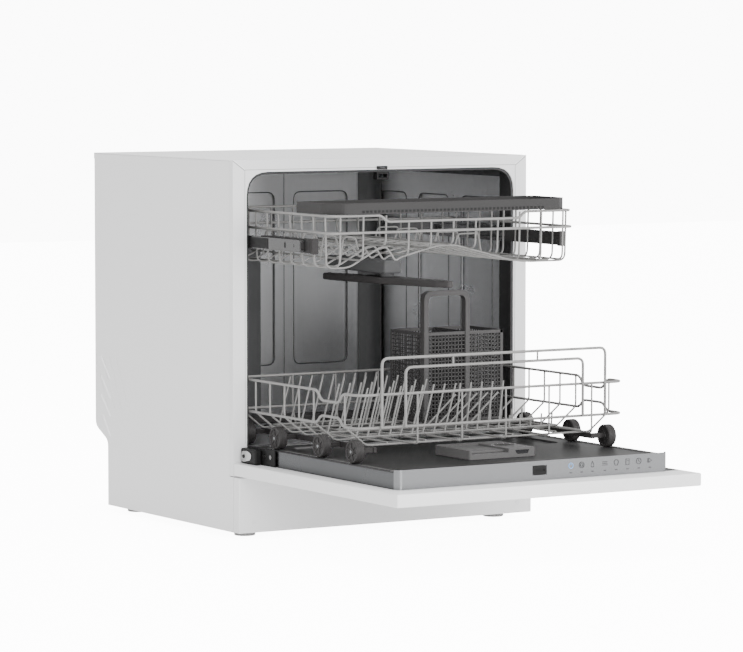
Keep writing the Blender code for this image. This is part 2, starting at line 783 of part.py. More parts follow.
def spray_arm(name, reach, at, turn):
    """Flat two-ended spray arm with a raised hub and small jets."""
    outline = []
    for sign in (1, -1):
        outline += [(ARM_ROOT * sign, 0.0), (ARM_ROOT * 0.8 * sign, reach * 0.3 * sign),
                    (ARM_TIP * sign, reach * 0.85 * sign), (ARM_TIP * 0.5 * sign, reach * sign),
                    (-ARM_TIP * 0.5 * sign, reach * sign), (-ARM_TIP * sign, reach * 0.85 * sign),
                    (-ARM_ROOT * 0.8 * sign, reach * 0.3 * sign)]
    arm = prism(name, outline, ARM_T, "grey_plastic", at)
    arm.rotation_euler = (0.0, 0.0, turn)
    soften(arm, ARM_T * 0.25, 2)
    jets = []
    for sign in (1, -1):
        for share in (0.35, 0.55, 0.75, 0.92):
            jets.append(circle(JET_R, 6, (0.0, sign * share * reach)))
    jet_cut = prism(name + "_jets", jets, JET_DEEP * 2, None, (at[0], at[1], at[2] + ARM_T - JET_DEEP))
    jet_cut.rotation_euler = (0.0, 0.0, turn)
    cut(arm, jet_cut)
    return arm


lower_arm = spray_arm("lower_spray_arm", ARM_R_LOWER - ARM_TIP, (SUMP_X, SUMP_Y, ARM_LOW_Z), math.radians(90.0))
cut(lower_arm, cylinder("lower_arm_bore", HUB_PIN_R + RUN_FIT, ARM_T, None,
                        (SUMP_X, SUMP_Y, ARM_LOW_Z - FIT), steps=SMALL_STEPS))

# Rear feed duct up the back wall
box("rear_feed_duct", (-DUCT_HALF, TUB_BACK - DUCT_T, TUB_FLOOR + FIT), (DUCT_HALF, TUB_BACK - FIT, DUCT_TOP),
    "grey_plastic", DUCT_R / 2)


def pump(name, x, radius, length, finish):
    """Pump lying on a cradle of the base pan, with a short spout to the sump."""
    floor = FOOT_H + PAN_WALL + FIT
    middle = floor + PUMP_FOOT + radius
    side = 1 if x > 0 else -1
    start = x - length / 2
    body = cylinder(name, radius, length, finish, (start, SUMP_Y, middle), "X", SMALL_STEPS)
    join(body, box(name + "_cradle", (x - length / 3, SUMP_Y - radius * 0.6, floor),
                   (x + length / 3, SUMP_Y + radius * 0.6, middle - radius * 0.5), None))
    reach = abs(x) - length / 2 - SUMP_R - FIT
    spout = (x - side * (length / 2 + reach)) if side > 0 else x + length / 2 - radius * 0.2
    join(body, cylinder(name + "_spout", radius * 0.4, reach + radius * 0.2, None,
                        (spout, SUMP_Y, middle + radius * 0.3), "X", SMALL_STEPS))


pump("circulation_pump", PUMP_X, PUMP_R, PUMP_L, "dark_plastic")
pump("drain_pump", DRAIN_X, DRAIN_R, DRAIN_L, "dark_plastic")


# Two hose ports in one collar plate on the rear wall of the base pan
ports = prism("hose_ports", rect(DRAIN_PORT_X - PORT_COLLAR, INLET_X + PORT_COLLAR, PORT_Z - PORT_COLLAR,
                                 PORT_Z + PORT_COLLAR, PORT_COLLAR / 2, 4), PORT_COLLAR_L, "dark_plastic",
              (0, STEP_Y, 0), "Y")
mouths = (DRAIN_PORT_X, INLET_X)
join(ports, prism("port_tubes", [circle(PORT_R, SMALL_STEPS, (x, PORT_Z)) for x in mouths], PORT_L, None,
                  (0, STEP_Y + PORT_COLLAR_L / 2, 0), "Y"))
cut(ports, prism("port_bores", [circle(PORT_BORE, SMALL_STEPS, (x, PORT_Z)) for x in mouths], PORT_L, None,
                 (0, STEP_Y + PORT_COLLAR_L, 0), "Y"))

# Door outer panel, liner, black edges and control strip
door = box("door_outer_panel", (-HALF_W, DOOR_END, DOOR_LOW), (HALF_W, DOOR_START, DOOR_HIGH), "white_sheet")
soften(door, DOOR_R / 2, 3)
cut(door, box("door_hollow", (-EDGE_HALF + DOOR_WALL * 2, LINER_END + DOOR_WALL * 2, DOOR_LOW + DOOR_WALL),
              (EDGE_HALF - DOOR_WALL * 2, LINER_START - DOOR_WALL * 2, DOOR_HIGH + FIT), None))
cut(door, box("door_chamber", (-HALF_W + DOOR_WALL, DOOR_END + DOOR_WALL, DOOR_LOW + DOOR_WALL),
              (HALF_W - DOOR_WALL, DOOR_START - DOOR_WALL, DOOR_HIGH - DOOR_WALL), None))
liner_low = DOOR_HIGH + FIT
liner = prism("door_liner", rect(-LINER_HALF, LINER_HALF, LINER_END, LINER_START), LINER_HIGH - liner_low, "steel",
              (0, 0, liner_low))
soften(liner, DOOR_WALL / 2, 2)
cut(liner, box("liner_hollow", (-LINER_HALF + DOOR_WALL, LINER_END + DOOR_WALL, liner_low - FIT),
               (LINER_HALF - DOOR_WALL, LINER_START - DOOR_WALL, LINER_HIGH - BASIN_DEEP - DOOR_WALL), None))
basin = rect(-BASIN_HALF, BASIN_HALF, BASIN_END, BASIN_START, BASIN_R)
cut(liner, prism("liner_basin", basin, BASIN_DEEP, None, (0, 0, LINER_HIGH - BASIN_DEEP * 0.6)))
for side, side_word in ((-1, "left"), (1, "right")):
    inner_x = side * (LINER_HALF + FIT)
    outer_x = side * EDGE_HALF
    box("liner_edge_" + side_word, (min(inner_x, outer_x), LINER_END, liner_low),
        (max(inner_x, outer_x), LINER_START, LINER_HIGH), "black_rubber", FIT)
strip_back = LINER_END - FIT
strip = prism("control_strip", rect(-EDGE_HALF, EDGE_HALF, liner_low, STRIP_HIGH, STRIP_T), STRIP_T, "steel",
              (0, strip_back - STRIP_T, 0), "Y")
latch_cut = rect(LATCH_X - LATCH_W / 2, LATCH_X + LATCH_W / 2, LATCH_Z - LATCH_H / 2, LATCH_Z + LATCH_H / 2,
                 LATCH_R, 4)
cut(strip, prism("latch_recess", latch_cut, LATCH_DEEP, None, (0, strip_back - STRIP_T - FIT, 0), "Y"))
latch_in = rect(LATCH_X - LATCH_W / 2 + FIT, LATCH_X + LATCH_W / 2 - FIT, LATCH_Z - LATCH_H / 2 + FIT,
                LATCH_Z + LATCH_H / 2 - FIT, LATCH_R - FIT, 4)
catch_front = strip_back - STRIP_T
catch = prism("door_catch", latch_in, LATCH_DEEP - 3 * FIT, "dark_plastic", (0, catch_front + FIT / 2, 0), "Y")
cut(catch, box("catch_slot", (LATCH_X - LATCH_SLOT_W / 2, catch_front - FIT, LATCH_Z - LATCH_SLOT_H / 2),
               (LATCH_X + LATCH_SLOT_W / 2, catch_front + LATCH_DEEP / 2, LATCH_Z + LATCH_SLOT_H / 2), None))

for side, side_word in ((-1, "left"), (1, "right")):
    near = side * HINGE_X
    far = side * (HINGE_X + HINGE_T)
    box("hinge_arm_" + side_word, (min(near, far), DOOR_START - HINGE_L, liner_low),
        (max(near, far), DOOR_START, liner_low + HINGE_H), "chrome", FIT)
    near = side * (HINGE_X + HINGE_T + FIT)
    far = near + side * COVER_W
    box("hinge_cover_" + side_word, (min(near, far), DOOR_START - COVER_L, liner_low),
        (max(near, far), DOOR_START, liner_low + COVER_H), "dark_plastic", COVER_R / 2)

# Detergent and rinse aid dispenser
disp_low = LINER_HIGH + FIT
disp_top = disp_low + DISP_H
dispenser = prism("dispenser_body", rect(DISP_LEFT, DISP_RIGHT, DISP_FRONT, DISP_FRONT + DISP_D, DISP_R), DISP_H,
                  "grey_plastic", (0, 0, disp_low))
track_low = disp_top - TRACK_DEEP
cut(dispenser, box("lid_track", (WELL_LEFT, DISP_FRONT - FIT, track_low),
                   (WELL_RIGHT, DISP_FRONT + WELL_BACK, disp_top + FIT), None))
cut(dispenser, box("detergent_well", (WELL_LEFT + WELL_SIDE, DISP_FRONT + WELL_START, disp_top - WELL_DEEP),
                   (WELL_RIGHT - WELL_SIDE, DISP_FRONT + WELL_BACK - WELL_SIDE, disp_top), None))
window_low = disp_low + WINDOW_LOW
window = [(CAP_X - WINDOW_HALF, window_low + WINDOW_TALL), (CAP_X - WINDOW_HALF + WINDOW_SLANT, window_low),
          (CAP_X + WINDOW_HALF - WINDOW_SLANT, window_low), (CAP_X + WINDOW_HALF, window_low + WINDOW_TALL)]
cut(dispenser, prism("level_window", window, WINDOW_DEEP + FIT, None, (0, DISP_FRONT - FIT, 0), "Y"))
cap_y = DISP_FRONT + DISP_D / 2
cut(dispenser, cylinder("cap_seat", CAP_R + FIT, CAP_SINK + FIT, None, (CAP_X, cap_y, disp_top - CAP_SINK),
                        steps=SMALL_STEPS))
lid_low = track_low + FIT
lid_back = DISP_FRONT + WELL_BACK - FIT
lid = box("dispenser_lid", (WELL_LEFT + FIT, DISP_FRONT + LID_START, lid_low), (WELL_RIGHT - FIT, lid_back, lid_low + LID_T),
          "grey_plastic", LID_T / 6)
cut(lid, box("lid_grip", (WELL_LEFT + WELL_SIDE, DISP_FRONT + LID_START + LID_GRIP, lid_low + LID_T / 2),
             (WELL_RIGHT - WELL_SIDE, DISP_FRONT + LID_START + 3 * LID_GRIP, lid_low + 2 * LID_T), None))
cap_low = disp_top - CAP_SINK + FIT
rinse_cap = cylinder("rinse_cap", CAP_R, CAP_SINK - FIT, "dark_plastic", (CAP_X, cap_y, cap_low),
                     steps=SMALL_STEPS)
cut(rinse_cap, box("cap_grip", (CAP_X - CAP_R * 0.7, cap_y - LID_GRIP / 2, disp_top - CAP_GRIP_DEEP),
                   (CAP_X + CAP_R * 0.7, cap_y + LID_GRIP / 2, disp_top + FIT), None))


def loop_path(half, front, rear, z, bend):
    """Closed rim round a rack at one height."""
    return rounded([(-half, front, z), (half, front, z), (half, rear, z), (-half, rear, z)], bend, 4, True)


# Upper rack: rims, then wires across and along, welded into one body
mid_share = (UP_MID - UP_FLOOR) / (UP_TOP - UP_FLOOR)
mid_half = UP_FLOOR_HALF + (UP_TOP_HALF - UP_FLOOR_HALF) * mid_share
mid_front = UP_FLOOR_FRONT + (UP_FRONT - UP_FLOOR_FRONT) * mid_share
mid_rear = UP_FLOOR_REAR + (UP_REAR - UP_FLOOR_REAR) * mid_share
dip_end = UP_DIP_HALF + UP_TOP - UP_DIP
top_rim = rounded([(-UP_TOP_HALF, UP_FRONT, UP_TOP), (-dip_end, UP_FRONT, UP_TOP),
                   (-UP_DIP_HALF, UP_FRONT, UP_DIP), (UP_DIP_HALF, UP_FRONT, UP_DIP),
                   (dip_end, UP_FRONT, UP_TOP), (UP_TOP_HALF, UP_FRONT, UP_TOP),
                   (UP_TOP_HALF, UP_REAR, UP_TOP), (-UP_TOP_HALF, UP_REAR, UP_TOP)], RIM_BEND / 2, 3, True)
mid_rim = loop_path(mid_half + STACK, mid_front - STACK, mid_rear + STACK, UP_MID, RIM_BEND / 2)
upper_rack = wires("upper_rack", [top_rim, mid_rim], RIM_R, 6, "coated_wire", True)
across = []
for y in spread(UP_FLOOR_FRONT + RIM_BEND / 2, UP_FLOOR_REAR - RIM_BEND / 2, UP_SIDE_WIRES):
    across.append(rounded([(-UP_TOP_HALF, y, UP_TOP), (-UP_FLOOR_HALF, y, UP_FLOOR), (UP_FLOOR_HALF, y, UP_FLOOR),
                           (UP_TOP_HALF, y, UP_TOP)], WIRE_BEND))
join(upper_rack, wires("upper_across", across, WIRE_R, 4))
along = []
reach = UP_FLOOR_HALF - RIM_BEND / 2
for x in spread(-reach, reach, UP_LONG_WIRES):
    head = UP_DIP if abs(x) < UP_DIP_HALF else UP_TOP
    along.append(rounded([(x, UP_FRONT, head), (x, UP_FLOOR_FRONT, UP_FLOOR + STACK),
                          (x, UP_FLOOR_REAR, UP_FLOOR + STACK), (x, UP_REAR, UP_TOP)], WIRE_BEND))
join(upper_rack, wires("upper_along", along, WIRE_R, 4))

# Cutlery shelf across the front of the upper rack
shelf_low = UP_TOP + RIM_R + FIT
shelf_rear = SHELF_FRONT + SHELF_D


def shelf_plan(inset):
    """Plan of the shelf with chamfered front corners, set in by a wall."""
    half = SHELF_HALF - inset
    front = SHELF_FRONT + inset
    rear = shelf_rear - inset
    corner = SHELF_CORNER - inset * math.tan(math.radians(22.5))
    return flat([(-half + corner, front), (half - corner, front), (half, front + corner), (half, rear), (-half, rear),
                 (-half, front + corner)], SHELF_R / 2, 3)


shelf = prism("cutlery_shelf", shelf_plan(0.0), SHELF_H, "dark_plastic", (0, 0, shelf_low))
cut(shelf, prism("shelf_hollow", shelf_plan(SHELF_WALL), SHELF_H, None, (0, 0, shelf_low + SHELF_WALL)))
slots = []
for i in range(SHELF_SLOT_COUNT):
    x = (i - (SHELF_SLOT_COUNT - 1) / 2) * SHELF_SLOT_PITCH
    slots.append(((x - SHELF_SLOT_W / 2, SHELF_FRONT + SHELF_R, shelf_low - FIT),
                  (x + SHELF_SLOT_W / 2, shelf_rear - SHELF_R, shelf_low + SHELF_H / 2)))
cut(shelf, boxes("shelf_slots", slots, None))

# Telescopic rails at both sides, and the brackets that carry the upper rack
bracket_share = (RAIL_Z + BRACKET_H / 2 - UP_FLOOR) / (UP_TOP - UP_FLOOR)
for side, side_word in ((-1, "left"), (1, "right")):
    def span(a, b):
        """Order two sideways distances for this side."""
        return (min(side * a, side * b), max(side * a, side * b))

    wall = TUB_HALF - FIT
    x0, x1 = span(RAIL_X, wall)
    rail = box("fixed_rail_" + side_word, (x0, RAIL_START, RAIL_Z - RAIL_H / 2), (x1, RAIL_END, RAIL_Z + RAIL_H / 2),
               "chrome")
    pocket = RAIL_H / 2 - RAIL_WALL * 1.5
    x0, x1 = span(RAIL_X - FIT, wall - RAIL_WALL)
    cut(rail, box("fixed_pocket_" + side_word, (x0, RAIL_START - FIT, RAIL_Z - pocket),
                  (x1, RAIL_END - RAIL_WALL, RAIL_Z + pocket), None))
    mid_h = pocket - FIT
    x0, x1 = span(MID_X, MID_OUT)
    sliding = box("sliding_rail_" + side_word, (x0, MID_START, RAIL_Z - mid_h), (x1, MID_START + MID_L, RAIL_Z + mid_h),
                  "chrome")
    groove = mid_h - RAIL_WALL * 1.5
    x0, x1 = span(MID_X - FIT, MID_OUT - RAIL_WALL)
    cut(sliding, box("sliding_pocket_" + side_word, (x0, MID_START - FIT, RAIL_Z - groove),
                     (x1, MID_START + MID_L - RAIL_WALL, RAIL_Z + groove), None))
    x0, x1 = span(UP_FLOOR_HALF + UP_LEAN * bracket_share + WIRE_R + FIT, BRACKET_OUT)
    bracket = box("rack_bracket_" + side_word, (x0, BRACKET_START, RAIL_Z - BRACKET_H / 2),
                  (x1, BRACKET_START + BRACKET_L, RAIL_Z + BRACKET_H / 2), "dark_plastic")
    x0, x1 = span(BRACKET_OUT - FIT, MID_OUT - RAIL_WALL - FIT)
    join(bracket, box("bracket_tongue_" + side_word, (x0, TONGUE_START, RAIL_Z - groove + FIT),
                      (x1, TONGUE_START + TONGUE_L, RAIL_Z + groove - FIT), None))

# Upper spray arm and the duct that feeds it below the rack
upper_arm = spray_arm("upper_spray_arm", ARM_R_UPPER - ARM_TIP, (0.0, UP_ARM_Y, UP_ARM_Z), math.radians(10.9))
cut(upper_arm, cylinder("upper_arm_bore", HUB_PIN_R + RUN_FIT, ARM_T, None,
                        (0.0, UP_ARM_Y, UP_ARM_Z + FIT), steps=SMALL_STEPS))
feed = box("upper_feed_duct", (-FEED_HALF, FEED_START, FEED_LOW), (FEED_HALF, FEED_END, FEED_HIGH), "grey_plastic",
           DUCT_R / 2)
join(feed, cylinder("feed_hub", HUB_R, FEED_LOW - UP_ARM_Z - ARM_T + DUCT_R / 2, None,
                    (0.0, UP_ARM_Y, UP_ARM_Z + ARM_T + FIT), steps=SMALL_STEPS))
join(feed, cylinder("feed_pin", HUB_PIN_R, ARM_T, None, (0.0, UP_ARM_Y, UP_ARM_Z + ARM_T / 2), steps=SMALL_STEPS))

# Lower rack: rims, then wires across and along, welded into one body

def notched_rim(z, drop):
    """Closed rim of the lower rack, dropped or raised for a short run behind each front corner."""
    right = [(LO_HALF, LO_FRONT, z), (LO_HALF, DIP_FRONT - DIP_RUN, z), (LO_HALF, DIP_FRONT, z - drop),
             (LO_HALF, DIP_REAR, z - drop), (LO_HALF, DIP_REAR + DIP_RUN, z), (LO_HALF, LO_REAR, z)]
    left = [(-x, y, height) for x, y, height in reversed(right)]
    return rounded(right + left, RIM_BEND, 3, True)


lo_top = notched_rim(LO_TOP, DIP_TOP)
lo_mid = notched_rim(LO_MID, -DIP_MID)
lower_rack = wires("lower_rack", [lo_top, lo_mid], RIM_R, 6, "coated_wire", True)
across = []
for y in [LO_CROSS_FRONT] + spread(LO_CROSS_START + DIP_RUN, LO_CROSS_END, LO_SIDE_WIRES):
    line = [(-LO_HALF, y, LO_TOP), (-LO_HALF, y, LO_MID), (-LO_FLOOR_HALF, y, LO_FLOOR)]
    line += [(-x, y, z) for x, y, z in reversed(line)]
    across.append(rounded(line, WIRE_BEND / 2, 2))
join(lower_rack, wires("lower_across", across, WIRE_R, 4))
along = []
for i in range(LO_LONG_WIRES):
    x = LO_LONG_START + i * LO_LONG_PITCH
    along.append(rounded([(x, LO_FRONT, LO_TOP), (x, LO_FRONT, LO_FLOOR + STACK),
                          (x, LO_FLOOR_REAR, LO_FLOOR + STACK), (x, LO_REAR, LO_MID), (x, LO_REAR, LO_TOP)],
                         WIRE_BEND / 2, 2))
join(lower_rack, wires("lower_along", along, WIRE_R, 4))

# Tall guard of two bent wires at the front of the lower rack
guard_paths = []
for half, top in ((GUARD_HALF, GUARD_TOP), (GUARD_IN_HALF, GUARD_IN_TOP)):
    guard_paths.append(rounded([(-half, GUARD_Y, LO_MID), (-half, GUARD_Y, top), (half, GUARD_Y, top),
                                (half, GUARD_Y, LO_MID)], GUARD_BEND, 4))
guard = wires("front_guard", guard_paths, GUARD_R, 6, "coated_wire")
struts = [[(x, GUARD_Y, GUARD_TOP), (x, GUARD_Y, GUARD_IN_TOP)] for x in (-GUARD_STRUT_X, GUARD_STRUT_X)]
join(guard, wires("guard_struts", struts, WIRE_R, 4))


def tine_rows(name, ys, count):
    """Rows of leaning tines on a frame of base wires that lies on the rack floor."""
    end = TINE_START + (count - 1) * TINE_PITCH
    left, right = TINE_START - TINE_PITCH / 2, end + TINE_PITCH / 2
    base = wires(name, [[(left, y, TINE_BASE_Z), (right, y, TINE_BASE_Z)] for y in ys], WIRE_R, 4, "coated_wire")
    links = [[(x, ys[0], TINE_BASE_Z), (x, ys[-1], TINE_BASE_Z)] for x in (left + WIRE_R, right - WIRE_R)]
    join(base, wires(name + "_links", links, WIRE_R, 4))
    tines = []
    for y in ys:
        for i in range(count):
            x = TINE_START + i * TINE_PITCH
            tines.append([(x, y, TINE_BASE_Z), (x + TINE_H * math.tan(TINE_LEAN), y, TINE_BASE_Z + TINE_H)])
    join(base, wires(name + "_tines", tines, TINE_R, 4))


tine_rows("long_tine_rows", LONG_ROW_YS, LONG_ROW_TINES)
tine_rows("short_tine_rows", SHORT_ROW_YS, SHORT_ROW_TINES)

# Wheels of the lower rack, with one carrier bar below the ends of the floor wires
carrier_high = LO_FLOOR - WIRE_R - FIT
inside = LO_FLOOR_HALF - CARRIER_IN - CARRIER_T
for side, side_word in ((-1, "left"), (1, "right")):
    name = "wheel_carrier_" + side_word
    x0 = min(side * inside, side * (inside + CARRIER_T))
    carrier = box(name, (x0, WHEEL_YS[0] - CARRIER_MORE, carrier_high - CARRIER_H),
                  (x0 + CARRIER_T, WHEEL_YS[-1] + CARRIER_MORE, carrier_high), "grey_plastic")
    axle_l = WHEEL_X + WHEEL_T / 2 + FIT - inside
    start = inside if side > 0 else -(inside + axle_l)
    axles = [circle(AXLE_R, AXLE_STEPS, (y, WHEEL_Z)) for y in WHEEL_YS]
    join(carrier, prism(name + "_axles", axles, axle_l, None, (start, 0, 0), "X"))
    for i, y in enumerate(WHEEL_YS):
        tread = [(WHEEL_BORE, WHEEL_T / 2), (WHEEL_R * 0.9, WHEEL_T / 2), (WHEEL_R, WHEEL_T / 3),
                 (WHEEL_R, -WHEEL_T / 3), (WHEEL_R * 0.9, -WHEEL_T / 2), (WHEEL_BORE, -WHEEL_T / 2)]
        turned("wheel_%s_%d" % (side_word, i + 1), tread, "grey_plastic", (side * WHEEL_X, y, WHEEL_Z), True,
               SMALL_STEPS, "X")

# Cutlery basket with lattice walls, partitions and a handle
left = BASKET_X - BASKET_W / 2
right = BASKET_X + BASKET_W / 2
front = BASKET_Y - BASKET_D / 2
back = BASKET_Y + BASKET_D / 2
basket = prism("cutlery_basket", rect(left, right, front, back, BASKET_R, 3), BASKET_HIGH - BASKET_LOW,
               "dark_plastic", (0, 0, BASKET_LOW))
cells = []
column_x = left + COLUMN_X
for x0, x1 in ((left + BASKET_WALL, column_x - COLUMN_W / 2), (column_x + COLUMN_W / 2, right - BASKET_WALL)):
    cells.append(((x0, front + BASKET_WALL, BASKET_LOW + BASKET_WALL), (x1, back - BASKET_WALL, BASKET_HIGH + FIT)))
cut(basket, boxes("basket_cells", cells, None))
through_y = []
through_x = []
mid_z = (BASKET_LOW + BASKET_HIGH) / 2
for row in range(WINDOW_ROWS):
    z = mid_z + (row - (WINDOW_ROWS - 1) / 2) * WINDOW_PITCH_Z
    for column in range(WINDOW_COLUMNS):
        x = BASKET_X + (column - (WINDOW_COLUMNS - 1) / 2) * WINDOW_PITCH_X
        through_y.append(((x - WINDOW_W / 2, front - FIT, z - WINDOW_H / 2),
                          (x + WINDOW_W / 2, back + FIT, z + WINDOW_H / 2)))
    for column in range(SIDE_COLUMNS):
        y = BASKET_Y + (column - (SIDE_COLUMNS - 1) / 2) * WINDOW_PITCH_X
        through_x.append(((left - FIT, y - WINDOW_W / 2, z - WINDOW_H / 2),
                          (right + FIT, y + WINDOW_W / 2, z + WINDOW_H / 2)))
cut(basket, boxes("basket_windows", through_y, None))
cut(basket, boxes("basket_side_windows", through_x, None))
grip_left = left
grip_right = column_x + COLUMN_W / 2
outer = rounded([(grip_left, HANDLE_LOW, 0), (grip_left, HANDLE_TOP, 0), (grip_right, HANDLE_TOP, 0),
                 (grip_right, HANDLE_LOW, 0)], WIRE_BEND, 4)
inner = rounded([(grip_right - COLUMN_W, HANDLE_LOW, 0), (grip_right - COLUMN_W, HANDLE_TOP - COLUMN_W, 0),
                 (grip_left + COLUMN_W, HANDLE_TOP - COLUMN_W, 0), (grip_left + COLUMN_W, HANDLE_LOW, 0)],
                WIRE_BEND - COLUMN_W / 2, 4)
join(basket, prism("basket_handle", [(p.x, p.y) for p in outer + inner], HANDLE_T, None,
                   (0, BASKET_Y - HANDLE_T / 2, 0), "Y"))
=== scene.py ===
"""Dressed model of a countertop dishwasher with its door open and both racks drawn out."""
from __future__ import annotations

import json
import logging
import math
from dataclasses import dataclass, field
from enum import Enum
from typing import Iterable, Sequence

import bmesh
import bpy
from mathutils import Matrix, Vector

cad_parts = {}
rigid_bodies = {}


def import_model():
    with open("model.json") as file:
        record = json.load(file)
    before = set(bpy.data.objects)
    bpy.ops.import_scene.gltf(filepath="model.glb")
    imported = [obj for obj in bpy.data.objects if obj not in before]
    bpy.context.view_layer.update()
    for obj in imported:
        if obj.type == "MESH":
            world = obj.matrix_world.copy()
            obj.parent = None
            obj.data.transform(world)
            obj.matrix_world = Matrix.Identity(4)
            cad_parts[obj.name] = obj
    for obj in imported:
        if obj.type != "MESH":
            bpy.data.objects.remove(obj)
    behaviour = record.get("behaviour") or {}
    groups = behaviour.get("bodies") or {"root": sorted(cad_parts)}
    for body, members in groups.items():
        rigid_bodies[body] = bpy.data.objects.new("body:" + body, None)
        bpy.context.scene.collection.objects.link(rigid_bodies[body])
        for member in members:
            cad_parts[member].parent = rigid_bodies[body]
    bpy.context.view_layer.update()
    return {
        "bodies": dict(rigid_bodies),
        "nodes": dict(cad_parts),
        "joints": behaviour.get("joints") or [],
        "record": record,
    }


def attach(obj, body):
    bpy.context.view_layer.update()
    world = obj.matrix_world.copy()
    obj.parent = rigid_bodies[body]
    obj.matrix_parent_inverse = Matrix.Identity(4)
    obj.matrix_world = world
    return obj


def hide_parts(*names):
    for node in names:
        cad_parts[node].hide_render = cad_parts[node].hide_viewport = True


LOG = logging.getLogger("dishwasher")
# A y measured from the front plane becomes a y of the shared frame when this is added.
FRONT = 0.008525
Point = tuple[float, float, float]
Pair = tuple[float, float]
Path = tuple[Sequence[Vector], bool]

SIDES = ((-1, "left"), (1, "right"))
ALONG_X = (0.0, math.pi / 2, 0.0)
ALONG_Y = (math.pi / 2, 0.0, 0.0)
# Segments of a rounded corner.
SHORT_STEPS = 5
BEND_STEPS = 6
LONG_STEPS = 8
# Sides of a swept wire.
RIM_SIDES = 14
WIRE_SIDES = 12
THIN_SIDES = 10
LINE_SIDES = 8
# The most of a segment that a rounded corner takes, and the least angle of an edge that a bevel takes.
CORNER_SHARE = 0.45
SHARP_ANGLE = 0.6


class Coat(Enum):
    """The finishes that the pieces of the dishwasher wear."""

    WHITE = "white_sheet"
    STEEL = "steel"
    CHROME = "chrome"
    DARK = "dark_plastic"
    RUBBER = "black_rubber"
    GREY = "grey_plastic"
    WIRE = "coated_wire"


def group_socket(tree: bpy.types.NodeTree, name: str, kind: str, inward: bool, value: object = None) -> None:
    """Add a named socket to a node group.

    Args:
        tree: The group that gets the socket.
        name: The socket's name.
        kind: Its type, such as NodeSocketFloat.
        inward: True for an input.
        value: The default value of an input.
    """
    made = tree.interface.new_socket(name=name, in_out="INPUT" if inward else "OUTPUT", socket_type=kind)
    if value is not None:
        made.default_value = value


def math_node(tree: bpy.types.NodeTree, operation: str, first: object,
              second: object) -> bpy.types.NodeSocket:
    """Add a Math node and join or set its two inputs.

    Args:
        tree: The tree that gets the node.
        operation: The Math operation.
        first: A socket or a number.
        second: A socket or a number.

    Returns:
        The node's output socket.
    """
    node = tree.nodes.new("ShaderNodeMath")
    node.operation = operation
    for socket, value in zip(node.inputs, (first, second)):
        if isinstance(value, bpy.types.NodeSocket):
            tree.links.new(value, socket)
        else:
            socket.default_value = value
    return node.outputs[0]


